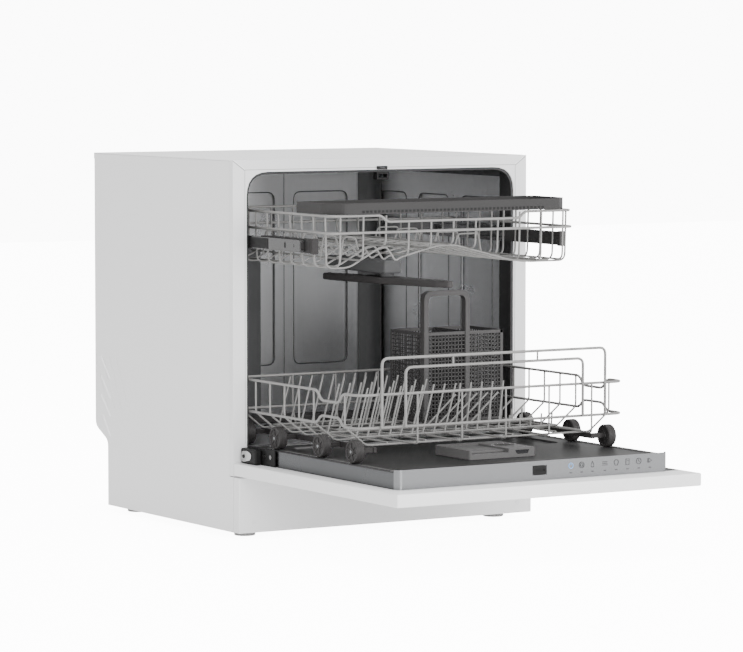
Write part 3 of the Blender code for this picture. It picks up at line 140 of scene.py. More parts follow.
class Effects:
    """Shader node groups that several finishes share."""

    FINE_DETAIL = 3.0
    BROAD_SCALE = 14.0
    BROAD_DETAIL = 4.0
    LINE_DETAIL = 2.0
    FILM_DETAIL = 6.0
    FILM_WARP = 0.6
    FILM_MIDDLE = 0.42

    def __init__(self) -> None:
        """Build each group once."""
        self.grain = self._grain()
        self.brushed = self._brushed()
        self.film = self._film()

    def _grain(self) -> bpy.types.NodeTree:
        """Build the moulded grain group.

        Returns:
            A group with Scale and Depth inputs, and Height and Mottle outputs.
        """
        tree = bpy.data.node_groups.new("moulded_grain", "ShaderNodeTree")
        group_socket(tree, "Scale", "NodeSocketFloat", True, 900.0)
        group_socket(tree, "Depth", "NodeSocketFloat", True, 0.5)
        group_socket(tree, "Height", "NodeSocketFloat", False)
        group_socket(tree, "Mottle", "NodeSocketFloat", False)
        get, put = tree.nodes.new("NodeGroupInput"), tree.nodes.new("NodeGroupOutput")
        place = tree.nodes.new("ShaderNodeTexCoord")
        fine = tree.nodes.new("ShaderNodeTexNoise")
        fine.inputs["Detail"].default_value = self.FINE_DETAIL
        broad = tree.nodes.new("ShaderNodeTexNoise")
        broad.inputs["Scale"].default_value = self.BROAD_SCALE
        broad.inputs["Detail"].default_value = self.BROAD_DETAIL
        tree.links.new(place.outputs["Object"], fine.inputs["Vector"])
        tree.links.new(place.outputs["Object"], broad.inputs["Vector"])
        tree.links.new(get.outputs["Scale"], fine.inputs["Scale"])
        height = math_node(tree, "MULTIPLY", fine.outputs["Fac"], get.outputs["Depth"])
        tree.links.new(height, put.inputs["Height"])
        tree.links.new(broad.outputs["Fac"], put.inputs["Mottle"])
        return tree

    def _brushed(self) -> bpy.types.NodeTree:
        """Build the brushed metal group.

        Returns:
            A group with Stretch, Scale and Depth inputs, and Height and Streak outputs.
        """
        tree = bpy.data.node_groups.new("brushed_lines", "ShaderNodeTree")
        group_socket(tree, "Stretch", "NodeSocketVector", True, (1.0, 40.0, 40.0))
        group_socket(tree, "Scale", "NodeSocketFloat", True, 24.0)
        group_socket(tree, "Depth", "NodeSocketFloat", True, 0.4)
        group_socket(tree, "Height", "NodeSocketFloat", False)
        group_socket(tree, "Streak", "NodeSocketFloat", False)
        get, put = tree.nodes.new("NodeGroupInput"), tree.nodes.new("NodeGroupOutput")
        place = tree.nodes.new("ShaderNodeTexCoord")
        pull = tree.nodes.new("ShaderNodeVectorMath")
        pull.operation = "MULTIPLY"
        lines = tree.nodes.new("ShaderNodeTexNoise")
        lines.inputs["Detail"].default_value = self.LINE_DETAIL
        tree.links.new(place.outputs["Object"], pull.inputs[0])
        tree.links.new(get.outputs["Stretch"], pull.inputs[1])
        tree.links.new(pull.outputs[0], lines.inputs["Vector"])
        tree.links.new(get.outputs["Scale"], lines.inputs["Scale"])
        height = math_node(tree, "MULTIPLY", lines.outputs["Fac"], get.outputs["Depth"])
        tree.links.new(height, put.inputs["Height"])
        tree.links.new(lines.outputs["Fac"], put.inputs["Streak"])
        return tree

    def _film(self) -> bpy.types.NodeTree:
        """Build the group for faint wiping marks and dust.

        Returns:
            A group with Scale and Amount inputs and a Mask output.
        """
        tree = bpy.data.node_groups.new("wiped_film", "ShaderNodeTree")
        group_socket(tree, "Scale", "NodeSocketFloat", True, 6.0)
        group_socket(tree, "Amount", "NodeSocketFloat", True, 0.2)
        group_socket(tree, "Mask", "NodeSocketFloat", False)
        get, put = tree.nodes.new("NodeGroupInput"), tree.nodes.new("NodeGroupOutput")
        place = tree.nodes.new("ShaderNodeTexCoord")
        cloud = tree.nodes.new("ShaderNodeTexNoise")
        cloud.inputs["Detail"].default_value = self.FILM_DETAIL
        cloud.inputs["Distortion"].default_value = self.FILM_WARP
        tree.links.new(place.outputs["Object"], cloud.inputs["Vector"])
        tree.links.new(get.outputs["Scale"], cloud.inputs["Scale"])
        above = math_node(tree, "SUBTRACT", cloud.outputs["Fac"], self.FILM_MIDDLE)
        tree.links.new(math_node(tree, "MULTIPLY", above, get.outputs["Amount"]), put.inputs["Mask"])
        return tree


@dataclass(frozen=True)
class Finish:
    """A procedural finish with grain or brushing, faint mottling and a wiped film."""

    coat: str
    colour: Point
    darker: Point
    roughness: float
    metallic: float = 0.0
    grain: float = 900.0
    depth: float = 0.4
    bump: float = 0.15
    film: float = 0.25
    stretch: Point | None = None
    clear: float = 0.0
    streak: float = 0.3
    tint: float = 1.0
    shine: float = 0.5
    clear_rough: float = 0.12
    bump_depth: float = 0.0004

    def build(self, effects: Effects) -> bpy.types.Material:
        """Build the material.

        Args:
            effects: The shared node groups.

        Returns:
            The finished material.
        """
        material = bpy.data.materials.new("look_" + self.coat)
        material.use_nodes = True
        tree = material.node_tree
        shader = tree.nodes["Principled BSDF"]
        shader.inputs["Metallic"].default_value = self.metallic
        shader.inputs["Coat Weight"].default_value = self.clear
        shader.inputs["Coat Roughness"].default_value = self.clear_rough
        shader.inputs["Specular Tint"].default_value = (self.tint, self.tint, self.tint, 1.0)
        shader.inputs["Specular IOR Level"].default_value = self.shine
        texture = tree.nodes.new("ShaderNodeGroup")
        texture.node_tree = effects.brushed if self.stretch else effects.grain
        texture.inputs["Scale"].default_value = self.grain
        texture.inputs["Depth"].default_value = self.depth
        if self.stretch:
            texture.inputs["Stretch"].default_value = self.stretch
        wiped = tree.nodes.new("ShaderNodeGroup")
        wiped.node_tree = effects.film
        wiped.inputs["Amount"].default_value = self.film
        mix = tree.nodes.new("ShaderNodeMix")
        mix.data_type = "RGBA"
        mix.inputs["A"].default_value = (*self.colour, 1.0)
        mix.inputs["B"].default_value = (*self.darker, 1.0)
        share = texture.outputs["Streak" if self.stretch else "Mottle"]
        scaled = math_node(tree, "MULTIPLY", share, self.streak)
        tree.links.new(scaled, mix.inputs["Factor"])
        tree.links.new(mix.outputs["Result"], shader.inputs["Base Color"])
        rough = math_node(tree, "ADD", wiped.outputs["Mask"], self.roughness)
        tree.links.new(rough, shader.inputs["Roughness"])
        bump = tree.nodes.new("ShaderNodeBump")
        bump.inputs["Strength"].default_value = self.bump
        bump.inputs["Distance"].default_value = self.bump_depth
        tree.links.new(texture.outputs["Height"], bump.inputs["Height"])
        tree.links.new(bump.outputs["Normal"], shader.inputs["Normal"])
        material.diffuse_color = (*self.colour, 1.0)
        return material


class Wardrobe:
    """All materials of the dishwasher, each built once."""

    LOOKS: dict[str, Finish] = {
        "white": Finish("white", (0.80, 0.80, 0.80), (0.77, 0.77, 0.775), 0.38, grain=700.0, bump=0.05,
                        film=0.12),
        "frame": Finish("frame", (0.76, 0.76, 0.765), (0.73, 0.73, 0.735), 0.36, grain=700.0, bump=0.05,
                        film=0.12),
        "tub": Finish("tub", (0.47, 0.473, 0.480), (0.36, 0.363, 0.370), 0.30, 1.0, 16.0, 0.5, 0.12, 0.3,
                      (60.0, 60.0, 1.0), tint=0.8),
        "liner": Finish("liner", (0.33, 0.33, 0.33), (0.26, 0.26, 0.26), 0.29, 1.0, 18.0, 0.4, 0.08, 0.2,
                        (1.0, 60.0, 60.0), tint=0.22),
        "strip": Finish("strip", (0.205, 0.208, 0.213), (0.165, 0.168, 0.173), 0.24, 1.0, 22.0, 0.5, 0.10,
                        0.1, (1.0, 70.0, 70.0)),
        "side": Finish("side", (0.102, 0.104, 0.107), (0.078, 0.080, 0.083), 0.26, 1.0, 22.0, 0.5, 0.10, 0.1,
                       (70.0, 1.0, 70.0), tint=0.7),
        "chrome": Finish("chrome", (0.42, 0.42, 0.42), (0.34, 0.34, 0.34), 0.20, 1.0, 30.0, 0.3, 0.04, 0.1,
                         (60.0, 1.0, 60.0)),
        "dark": Finish("dark", (0.031, 0.029, 0.029), (0.023, 0.022, 0.022), 0.48, grain=1300.0, bump=0.2,
                       shine=0.2),
        "slate": Finish("slate", (0.098, 0.096, 0.096), (0.078, 0.076, 0.077), 0.50, grain=1300.0, bump=0.2,
                        shine=0.15),
        "shelf": Finish("shelf", (0.036, 0.035, 0.035), (0.028, 0.027, 0.027), 0.50, grain=1300.0, bump=0.2,
                        shine=0.15),
        "rail": Finish("rail", (0.17, 0.17, 0.17), (0.13, 0.13, 0.13), 0.24, 1.0, 30.0, 0.3, 0.04, 0.1,
                       (60.0, 1.0, 60.0), tint=0.8),
        # Dark metal strips under the tub's roof: painted shade for the dark reflection at the top of the
        # walls.
        "top_shade": Finish("top_shade", (0.10, 0.10, 0.102), (0.07, 0.07, 0.072), 0.35, 1.0, 16.0, 0.5, 0.12, 0.3,
                       (60.0, 60.0, 1.0), tint=0.7),
        # Brighter than the white panels: painted highlight on the side ridges and along the frame's mitres.
        "highlight_white": Finish("highlight_white", (0.95, 0.95, 0.95), (0.92, 0.92, 0.92), 0.35, grain=700.0, bump=0.03),
        # The slate plastic darkened: painted shade on the spray arms and filter cup.
        "arm": Finish("arm", (0.046, 0.044, 0.044), (0.036, 0.034, 0.034), 0.50, grain=1300.0, bump=0.2,
                      shine=0.15),
        "duct": Finish("duct", (0.105, 0.106, 0.108), (0.085, 0.086, 0.088), 0.55, grain=1100.0, bump=0.15,
                       shine=0.15),
        "rubber": Finish("rubber", (0.018, 0.018, 0.019), (0.012, 0.012, 0.013), 0.62, grain=1600.0,
                         bump=0.25),
        "grey": Finish("grey", (0.20, 0.205, 0.21), (0.16, 0.165, 0.17), 0.48, grain=1200.0, bump=0.2),
        "wire": Finish("wire", (0.202, 0.199, 0.194), (0.168, 0.165, 0.162), 0.38, grain=600.0, bump=0.05,
                       clear=0.05, shine=0.35),
        "foot": Finish("foot", (0.52, 0.52, 0.515), (0.44, 0.44, 0.435), 0.50, grain=1200.0, bump=0.2,
                       shine=0.3),
        "gloss": Finish("gloss", (0.010, 0.010, 0.012), (0.006, 0.006, 0.007), 0.10, grain=900.0, bump=0.02,
                        clear=0.6),
        "print": Finish("print", (0.75, 0.76, 0.78), (0.68, 0.69, 0.71), 0.40, grain=900.0, bump=0.02),
        "black": Finish("black", (0.007, 0.007, 0.007), (0.005, 0.005, 0.005), 0.5, grain=1300.0, bump=0.2,
                        shine=0.2),
        "mesh": Finish("mesh", (0.062, 0.060, 0.060), (0.046, 0.045, 0.045), 0.48, grain=1300.0, bump=0.2,
                       shine=0.2),
        # Dark lines: painted shadow along the tub's press outlines, and the dark joint of the rear seam.
        "edge": Finish("edge", (0.07, 0.07, 0.072), (0.045, 0.045, 0.047), 0.35, grain=900.0, bump=0.05),
        # Dark seam lines round the opening; on the mitres the same dark line is painted shadow.
        "seam": Finish("seam", (0.30, 0.30, 0.302), (0.25, 0.25, 0.252), 0.5, grain=900.0, bump=0.05),
        "blue": Finish("blue", (0.25, 0.45, 0.80), (0.20, 0.38, 0.72), 0.40, grain=900.0, bump=0.02),
    }

    def __init__(self) -> None:
        """Build the shared groups and prepare the shelf of materials."""
        self.effects = Effects()
        self.made: dict[str, bpy.types.Material] = {}

    def get(self, name: str) -> bpy.types.Material:
        """Return a finish, building it at its first use.

        Args:
            name: The finish's name.

        Returns:
            The material.
        """
        if name not in self.made:
            self.made[name] = self.LOOKS[name].build(self.effects)
        return self.made[name]

    def dress(self, nodes: dict[str, bpy.types.Object], names: Iterable[str], look: str) -> None:
        """Give carried-over CAD nodes a finish.

        Args:
            nodes: The CAD nodes by name.
            names: The nodes to dress.
            look: The finish's name.
        """
        for name in names:
            slots = nodes[name].data.materials
            slots.clear()
            slots.append(self.get(look))


def rounded(points: Sequence[Point], radius: float, steps: int, closed: bool = False) -> list[Vector]:
    """Turn the inner corners of a line into arcs.

    Args:
        points: The corner points.
        radius: How far an arc starts from its corner.
        steps: The arc's number of segments.
        closed: True for a loop.

    Returns:
        The rounded line.
    """
    line = [Vector(p) for p in points]
    count = len(line)
    out: list[Vector] = []
    for i, corner in enumerate(line):
        if not closed and i in (0, count - 1):
            out.append(corner)
            continue
        back, ahead = line[i - 1] - corner, line[(i + 1) % count] - corner
        reach = min(radius, back.length * CORNER_SHARE, ahead.length * CORNER_SHARE)
        start, end = corner + back.normalized() * reach, corner + ahead.normalized() * reach
        for k in range(steps + 1):
            t = k / steps
            out.append(start * (1 - t) ** 2 + corner * 2 * t * (1 - t) + end * t ** 2)
    return out


class Workshop:
    """Makes finished pieces and hands them to the frame."""

    PIN_SIDES = 20

    def __init__(self, wardrobe: Wardrobe) -> None:
        """Keep the materials and build the Geometry Nodes trees.

        Args:
            wardrobe: The materials.
        """
        self.wardrobe = wardrobe
        self.wire_tree = self._wire_tree()
        self.point_trees = {shape: self._points_tree(shape) for shape in ("PIN", "BLOCK")}
        self.lattice_tree = self._lattice_tree()

    @staticmethod
    def _wire_tree() -> bpy.types.NodeTree:
        """Build the Geometry Nodes tree that sweeps round wire along edges.

        Returns:
            A tree with Radius, Sides and Finish inputs.
        """
        tree = bpy.data.node_groups.new("round_wire", "GeometryNodeTree")
        group_socket(tree, "Path", "NodeSocketGeometry", True)
        group_socket(tree, "Radius", "NodeSocketFloat", True, 0.002)
        group_socket(tree, "Sides", "NodeSocketInt", True, 10)
        group_socket(tree, "Finish", "NodeSocketMaterial", True)
        group_socket(tree, "Wire", "NodeSocketGeometry", False)
        get, put = tree.nodes.new("NodeGroupInput"), tree.nodes.new("NodeGroupOutput")
        line = tree.nodes.new("GeometryNodeMeshToCurve")
        ring = tree.nodes.new("GeometryNodeCurvePrimitiveCircle")
        sweep = tree.nodes.new("GeometryNodeCurveToMesh")
        sweep.inputs["Fill Caps"].default_value = True
        smooth = tree.nodes.new("GeometryNodeSetShadeSmooth")
        real = tree.nodes.new("GeometryNodeRealizeInstances")
        paint = tree.nodes.new("GeometryNodeSetMaterial")
        join = tree.links.new
        join(get.outputs["Path"], line.inputs[0])
        join(get.outputs["Radius"], ring.inputs["Radius"])
        join(get.outputs["Sides"], ring.inputs["Resolution"])
        join(line.outputs[0], sweep.inputs["Curve"])
        join(ring.outputs[0], sweep.inputs["Profile Curve"])
        join(sweep.outputs[0], smooth.inputs[0])
        join(smooth.outputs[0], real.inputs[0])
        join(real.outputs[0], paint.inputs["Geometry"])
        join(get.outputs["Finish"], paint.inputs["Material"])
        join(paint.outputs[0], put.inputs["Wire"])
        return tree

    def _points_tree(self, shape: str) -> bpy.types.NodeTree:
        """Build the Geometry Nodes tree that repeats one small solid on points.

        Args:
            shape: PIN for a round pin, or BLOCK for a block.

        Returns:
            A tree with Size, Turn and Finish inputs.
        """
        tree = bpy.data.node_groups.new(shape.lower() + "_on_points", "GeometryNodeTree")
        group_socket(tree, "Points", "NodeSocketGeometry", True)
        group_socket(tree, "Size", "NodeSocketVector", True, (0.002, 0.002, 0.002))
        group_socket(tree, "Turn", "NodeSocketVector", True, (0.0, 0.0, 0.0))
        group_socket(tree, "Finish", "NodeSocketMaterial", True)
        group_socket(tree, "Solids", "NodeSocketGeometry", False)
        get, put = tree.nodes.new("NodeGroupInput"), tree.nodes.new("NodeGroupOutput")
        turn = tree.nodes.new("FunctionNodeEulerToRotation")
        if shape == "PIN":
            solid = tree.nodes.new("GeometryNodeMeshCylinder")
            solid.inputs["Vertices"].default_value = self.PIN_SIDES
            solid.inputs["Radius"].default_value = 0.5
            solid.inputs["Depth"].default_value = 1.0
        else:
            solid = tree.nodes.new("GeometryNodeMeshCube")
        scaled = tree.nodes.new("GeometryNodeTransform")
        spots = tree.nodes.new("GeometryNodeInstanceOnPoints")
        real = tree.nodes.new("GeometryNodeRealizeInstances")
        paint = tree.nodes.new("GeometryNodeSetMaterial")
        join = tree.links.new
        join(get.outputs["Size"], scaled.inputs["Scale"])
        join(solid.outputs["Mesh"], scaled.inputs["Geometry"])
        join(get.outputs["Points"], spots.inputs["Points"])
        join(scaled.outputs[0], spots.inputs["Instance"])
        join(get.outputs["Turn"], turn.inputs[0])
        join(turn.outputs[0], spots.inputs["Rotation"])
        join(spots.outputs[0], real.inputs[0])
        join(real.outputs[0], paint.inputs["Geometry"])
        join(get.outputs["Finish"], paint.inputs["Material"])
        join(paint.outputs[0], put.inputs["Solids"])
        return tree

    @staticmethod
    def _lattice_tree() -> bpy.types.NodeTree:
        """Build the Geometry Nodes tree for a lattice panel of crossing bars.

        Returns:
            A tree with Width, Height, Columns, Rows, Bar, Depth and Finish inputs.
        """
        tree = bpy.data.node_groups.new("bar_lattice", "GeometryNodeTree")
        group_socket(tree, "Start", "NodeSocketGeometry", True)
        for name, value in (("Width", 0.1), ("Height", 0.1), ("Bar", 0.002), ("Depth", 0.002)):
            group_socket(tree, name, "NodeSocketFloat", True, value)
        for name in ("Columns", "Rows"):
            group_socket(tree, name, "NodeSocketInt", True, 8)
        group_socket(tree, "Finish", "NodeSocketMaterial", True)
        group_socket(tree, "Panel", "NodeSocketGeometry", False)
        get, put = tree.nodes.new("NodeGroupInput"), tree.nodes.new("NodeGroupOutput")
        join = tree.links.new
        both = tree.nodes.new("GeometryNodeJoinGeometry")
        ways = (("Columns", "Width", "Height", "X", "Z"), ("Rows", "Height", "Width", "Z", "X"))
        for count, run, rise, axis, other in ways:
            half = math_node(tree, "MULTIPLY", get.outputs[run], -0.5)
            inset = math_node(tree, "MULTIPLY", get.outputs["Bar"], 0.5)
            low = math_node(tree, "ADD", half, inset)
            high = math_node(tree, "MULTIPLY", low, -1.0)
            line = tree.nodes.new("GeometryNodeMeshLine")
            line.mode = "END_POINTS"
            start, end = tree.nodes.new("ShaderNodeCombineXYZ"), tree.nodes.new("ShaderNodeCombineXYZ")
            join(low, start.inputs[axis])
            join(high, end.inputs[axis])
            join(get.outputs[count], line.inputs["Count"])
            join(start.outputs[0], line.inputs["Start Location"])
            join(end.outputs[0], line.inputs["Offset"])
            size = tree.nodes.new("ShaderNodeCombineXYZ")
            join(get.outputs["Bar"], size.inputs[axis])
            join(get.outputs[rise], size.inputs[other])
            join(get.outputs["Depth"], size.inputs["Y"])
            bar = tree.nodes.new("GeometryNodeMeshCube")
            join(size.outputs[0], bar.inputs["Size"])
            spots = tree.nodes.new("GeometryNodeInstanceOnPoints")
            join(line.outputs[0], spots.inputs["Points"])
            join(bar.outputs["Mesh"], spots.inputs["Instance"])
            join(spots.outputs[0], both.inputs[0])
        real = tree.nodes.new("GeometryNodeRealizeInstances")
        paint = tree.nodes.new("GeometryNodeSetMaterial")
        join(both.outputs[0], real.inputs[0])
        join(real.outputs[0], paint.inputs["Geometry"])
        join(get.outputs["Finish"], paint.inputs["Material"])
        join(paint.outputs[0], put.inputs["Panel"])
        return tree

    @staticmethod
    def socket_id(tree: bpy.types.NodeTree, name: str) -> str:
        """Return the identifier of a tree's input by its name."""
        items = tree.interface.items_tree
        return next(item.identifier for item in items if item.name == name and item.in_out == "INPUT")

    def run_tree(self, tree: bpy.types.NodeTree, mesh: bpy.types.Mesh, values: dict[str, object],
                 look: str) -> bpy.types.Mesh:
        """Run a Geometry Nodes tree on a mesh and return the plain result.

        Args:
            tree: The tree.
            mesh: The mesh that it starts from.
            values: Its inputs by name.
            look: The finish's name.

        Returns:
            The plain mesh.
        """
        holder = bpy.data.objects.new("holder", mesh)
        bpy.context.scene.collection.objects.link(holder)
        step = holder.modifiers.new("made", "NODES")
        step.node_group = tree
        for name, value in values.items():
            step[self.socket_id(tree, name)] = value
        step[self.socket_id(tree, "Finish")] = self.wardrobe.get(look)
        graph = bpy.context.evaluated_depsgraph_get()
        result = bpy.data.meshes.new_from_object(holder.evaluated_get(graph))
        bpy.data.objects.remove(holder, do_unlink=True)
        result.materials.clear()
        result.materials.append(self.wardrobe.get(look))
        return result

    def wires(self, paths: Sequence[Path], radius: float, look: str, sides: int) -> bpy.types.Mesh:
        """Sweep round wire along open and closed paths.

        Args:
            paths: Each path with True where it is a loop.
            radius: The wire's radius.
            look: The finish's name.
            sides: The number of sides of the wire.

        Returns:
            The plain mesh of all wires.
        """
        bm = bmesh.new()
        for path, closed in paths:
            verts = [bm.verts.new(p) for p in path]
            for a, b in zip(verts, verts[1:]):
                bm.edges.new((a, b))
            if closed:
                bm.edges.new((verts[-1], verts[0]))
        mesh = bpy.data.meshes.new("paths")
        bm.to_mesh(mesh)
        bm.free()
        return self.run_tree(self.wire_tree, mesh, {"Radius": radius, "Sides": sides}, look)

    def repeat(self, shape: str, points: Sequence[Point], size: Point, look: str,
               turn: Point = (0.0, 0.0, 0.0)) -> bpy.types.Mesh:
        """Repeat a pin or a block on points.

        Args:
            shape: PIN or BLOCK.
            points: Where the solids' middles lie.
            size: Their width, depth and height before the turn.
            look: The finish's name.
            turn: Their rotation.

        Returns:
            The plain mesh of all solids.
        """
        mesh = bpy.data.meshes.new("points")
        mesh.from_pydata([tuple(p) for p in points], [], [])
        return self.run_tree(self.point_trees[shape], mesh, {"Size": size, "Turn": turn}, look)

    def lattice(self, middle: Point, width: float, height: float, columns: int, rows: int, bar: float,
                depth: float, look: str, turn: Matrix | None = None) -> bpy.types.Mesh:
        """Make a lattice panel of crossing bars.

        Args:
            middle: Where its middle lies.
            width: Its width.
            height: Its height.
            columns: How many upright bars it has.
            rows: How many level bars it has.
            bar: The bars' width.
            depth: The bars' thickness.
            look: The finish's name.
            turn: A rotation about its middle.

        Returns:
            The plain mesh.
        """
        mesh = bpy.data.meshes.new("start")
        mesh.from_pydata([(0.0, 0.0, 0.0)], [], [])
        values = {"Width": width, "Height": height, "Columns": columns, "Rows": rows, "Bar": bar,
                  "Depth": depth}
        made = self.run_tree(self.lattice_tree, mesh, values, look)
        if turn is not None:
            made.transform(turn)
        made.transform(Matrix.Translation(middle))
        return made

    def lathe(self, profile: Sequence[Pair], look: str, at: Point, axis: str = "X",
              steps: int = 40) -> bpy.types.Mesh:
        """Turn a closed profile of radius and height pairs about an axis.

        Args:
            profile: The pairs, round the section.
            look: The finish's name.
            at: Where the axis starts.
            axis: X, Y or Z.
            steps: The number of steps round.

        Returns:
            The mesh.
        """
        bm = bmesh.new()
        rings = []
        for i in range(steps):
            c, s = math.cos(math.tau * i / steps), math.sin(math.tau * i / steps)
            rings.append([bm.verts.new((r * c, r * s, h)) for r, h in profile])
        count = len(profile)
        for i, ring in enumerate(rings):
            ahead = rings[(i + 1) % steps]
            for k in range(count):
                m = (k + 1) % count
                bm.faces.new((ring[k], ahead[k], ahead[m], ring[m]))
        bmesh.ops.recalc_face_normals(bm, faces=bm.faces)
        mesh = bpy.data.meshes.new("turned")
        bm.to_mesh(mesh)
        bm.free()
        turn = {"X": Matrix.Rotation(math.pi / 2, 4, "Y"), "Y": Matrix.Rotation(math.pi / 2, 4, "X"),
                "Z": Matrix.Identity(4)}[axis]
        mesh.transform(Matrix.Translation(at) @ turn)
        mesh.materials.append(self.wardrobe.get(look))
        return mesh

    @staticmethod
    def merged(meshes: Sequence[bpy.types.Mesh]) -> bpy.types.Mesh:
        """Join meshes into one mesh with normals facing out.

        Args:
            meshes: The meshes, each of one material.

        Returns:
            The joined mesh.
        """
        bm = bmesh.new()
        out = bpy.data.meshes.new("joined")
        for mesh in meshes:
            first = len(bm.faces)
            bm.from_mesh(mesh)
            bm.faces.ensure_lookup_table()
            worn = mesh.materials[0]
            if worn.name not in out.materials:
                out.materials.append(worn)
            slot = out.materials.find(worn.name)
            for face in bm.faces[first:]:
                face.material_index = slot
        bmesh.ops.recalc_face_normals(bm, faces=bm.faces)
        bm.to_mesh(out)
        bm.free()
        return out

    @staticmethod
    def place(name: str, mesh: bpy.types.Mesh, body: str, coat: Coat, replaces: Sequence[str] = ()) -> None:
        """Finish a piece: move it from the front plane's frame, and hand it to its body.

        Args:
            name: The piece's name.
            mesh: Its mesh, placed in the front plane's frame.
            body: The CAD body that it rides on.
            coat: The piece's material class; not used.
            replaces: The CAD nodes that it stands for.
        """
        mesh.transform(Matrix.Translation((0.0, FRONT, 0.0)))
        mesh.name = name
        piece = bpy.data.objects.new(name, mesh)
        bpy.context.scene.collection.objects.link(piece)
        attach(piece, body)
        if replaces:
            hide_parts(*replaces)
        LOG.info("%s: %d faces on %s", name, len(mesh.polygons), body)

    def plate(self, outline: Sequence[Pair], depth: float, look: str, axis: str, at: Point,
              bevel: float = 0.0) -> bpy.types.Mesh:
        """Extrude a flat outline along an axis.

        Args:
            outline: The outline's pairs, in the two other axes.
            depth: The length along the axis.
            look: The finish's name.
            axis: X, Y or Z.
            at: Where the outline's zero lies.
            bevel: The width of the rounded edges.

        Returns:
            The mesh.
        """
        bm = bmesh.new()
        first, second, third = {"X": (2, 0, 1), "Y": (0, 2, 1), "Z": (0, 1, 2)}[axis]
        low, high = [], []
        for verts, w in ((low, 0.0), (high, depth)):
            for u, v in outline:
                place = (u, v, w)
                verts.append(bm.verts.new(Vector((place[first], place[second], place[third])) + Vector(at)))
        bm.faces.new(low)
        bm.faces.new(high)
        for i, here in enumerate(low):
            j = (i + 1) % len(low)
            bm.faces.new((here, low[j], high[j], high[i]))
        if bevel:
            sharp = [e for e in bm.edges if len(e.link_faces) == 2 and e.calc_face_angle(0.0) > SHARP_ANGLE]
            bmesh.ops.bevel(bm, geom=sharp, offset=bevel, segments=2, affect="EDGES", profile=0.5)
        bmesh.ops.recalc_face_normals(bm, faces=bm.faces)
        mesh = bpy.data.meshes.new("plate")
        bm.to_mesh(mesh)
        bm.free()
        mesh.materials.append(self.wardrobe.get(look))
        return mesh


def rect(left: float, right: float, low: float, high: float, radius: float = 0.0,
         steps: int = SHORT_STEPS) -> list[Pair]:
    """Return the outline of a rectangle, rounded where a radius is given.

    Args:
        left: Its lower side along the first axis.
        right: Its upper side along the first axis.
        low: Its lower side along the second axis.
        high: Its upper side along the second axis.
        radius: How far the rounding starts from each corner.
        steps: The number of segments at each corner.

    Returns:
        The outline's pairs.
    """
    points = [(left, low, 0.0), (right, low, 0.0), (right, high, 0.0), (left, high, 0.0)]
    if not radius:
        return [(p[0], p[1]) for p in points]
    return flat(rounded(points, radius, steps, True))


def flat(line: Iterable[Vector]) -> list[Pair]:
    """Return the first two coordinates of each point of a line."""
    return [(p.x, p.y) for p in line]


def spread(low: float, high: float, count: int) -> list[float]:
    """Return evenly spaced values from low to high, both included."""
    return [low + (high - low) * i / (count - 1) for i in range(count)]


def arc(middle: Pair, radius: float, low: float, high: float, steps: int = 14) -> list[Pair]:
    """Return points along an arc.

    Args:
        middle: The arc's middle.
        radius: Its radius.
        low: The angle that it starts at, in degrees.
        high: The angle that it ends at, in degrees.
        steps: The number of segments.

    Returns:
        The arc's pairs.
    """
    angles = [math.radians(low + (high - low) * k / steps) for k in range(steps + 1)]
    return [(middle[0] + radius * math.cos(a), middle[1] + radius * math.sin(a)) for a in angles]


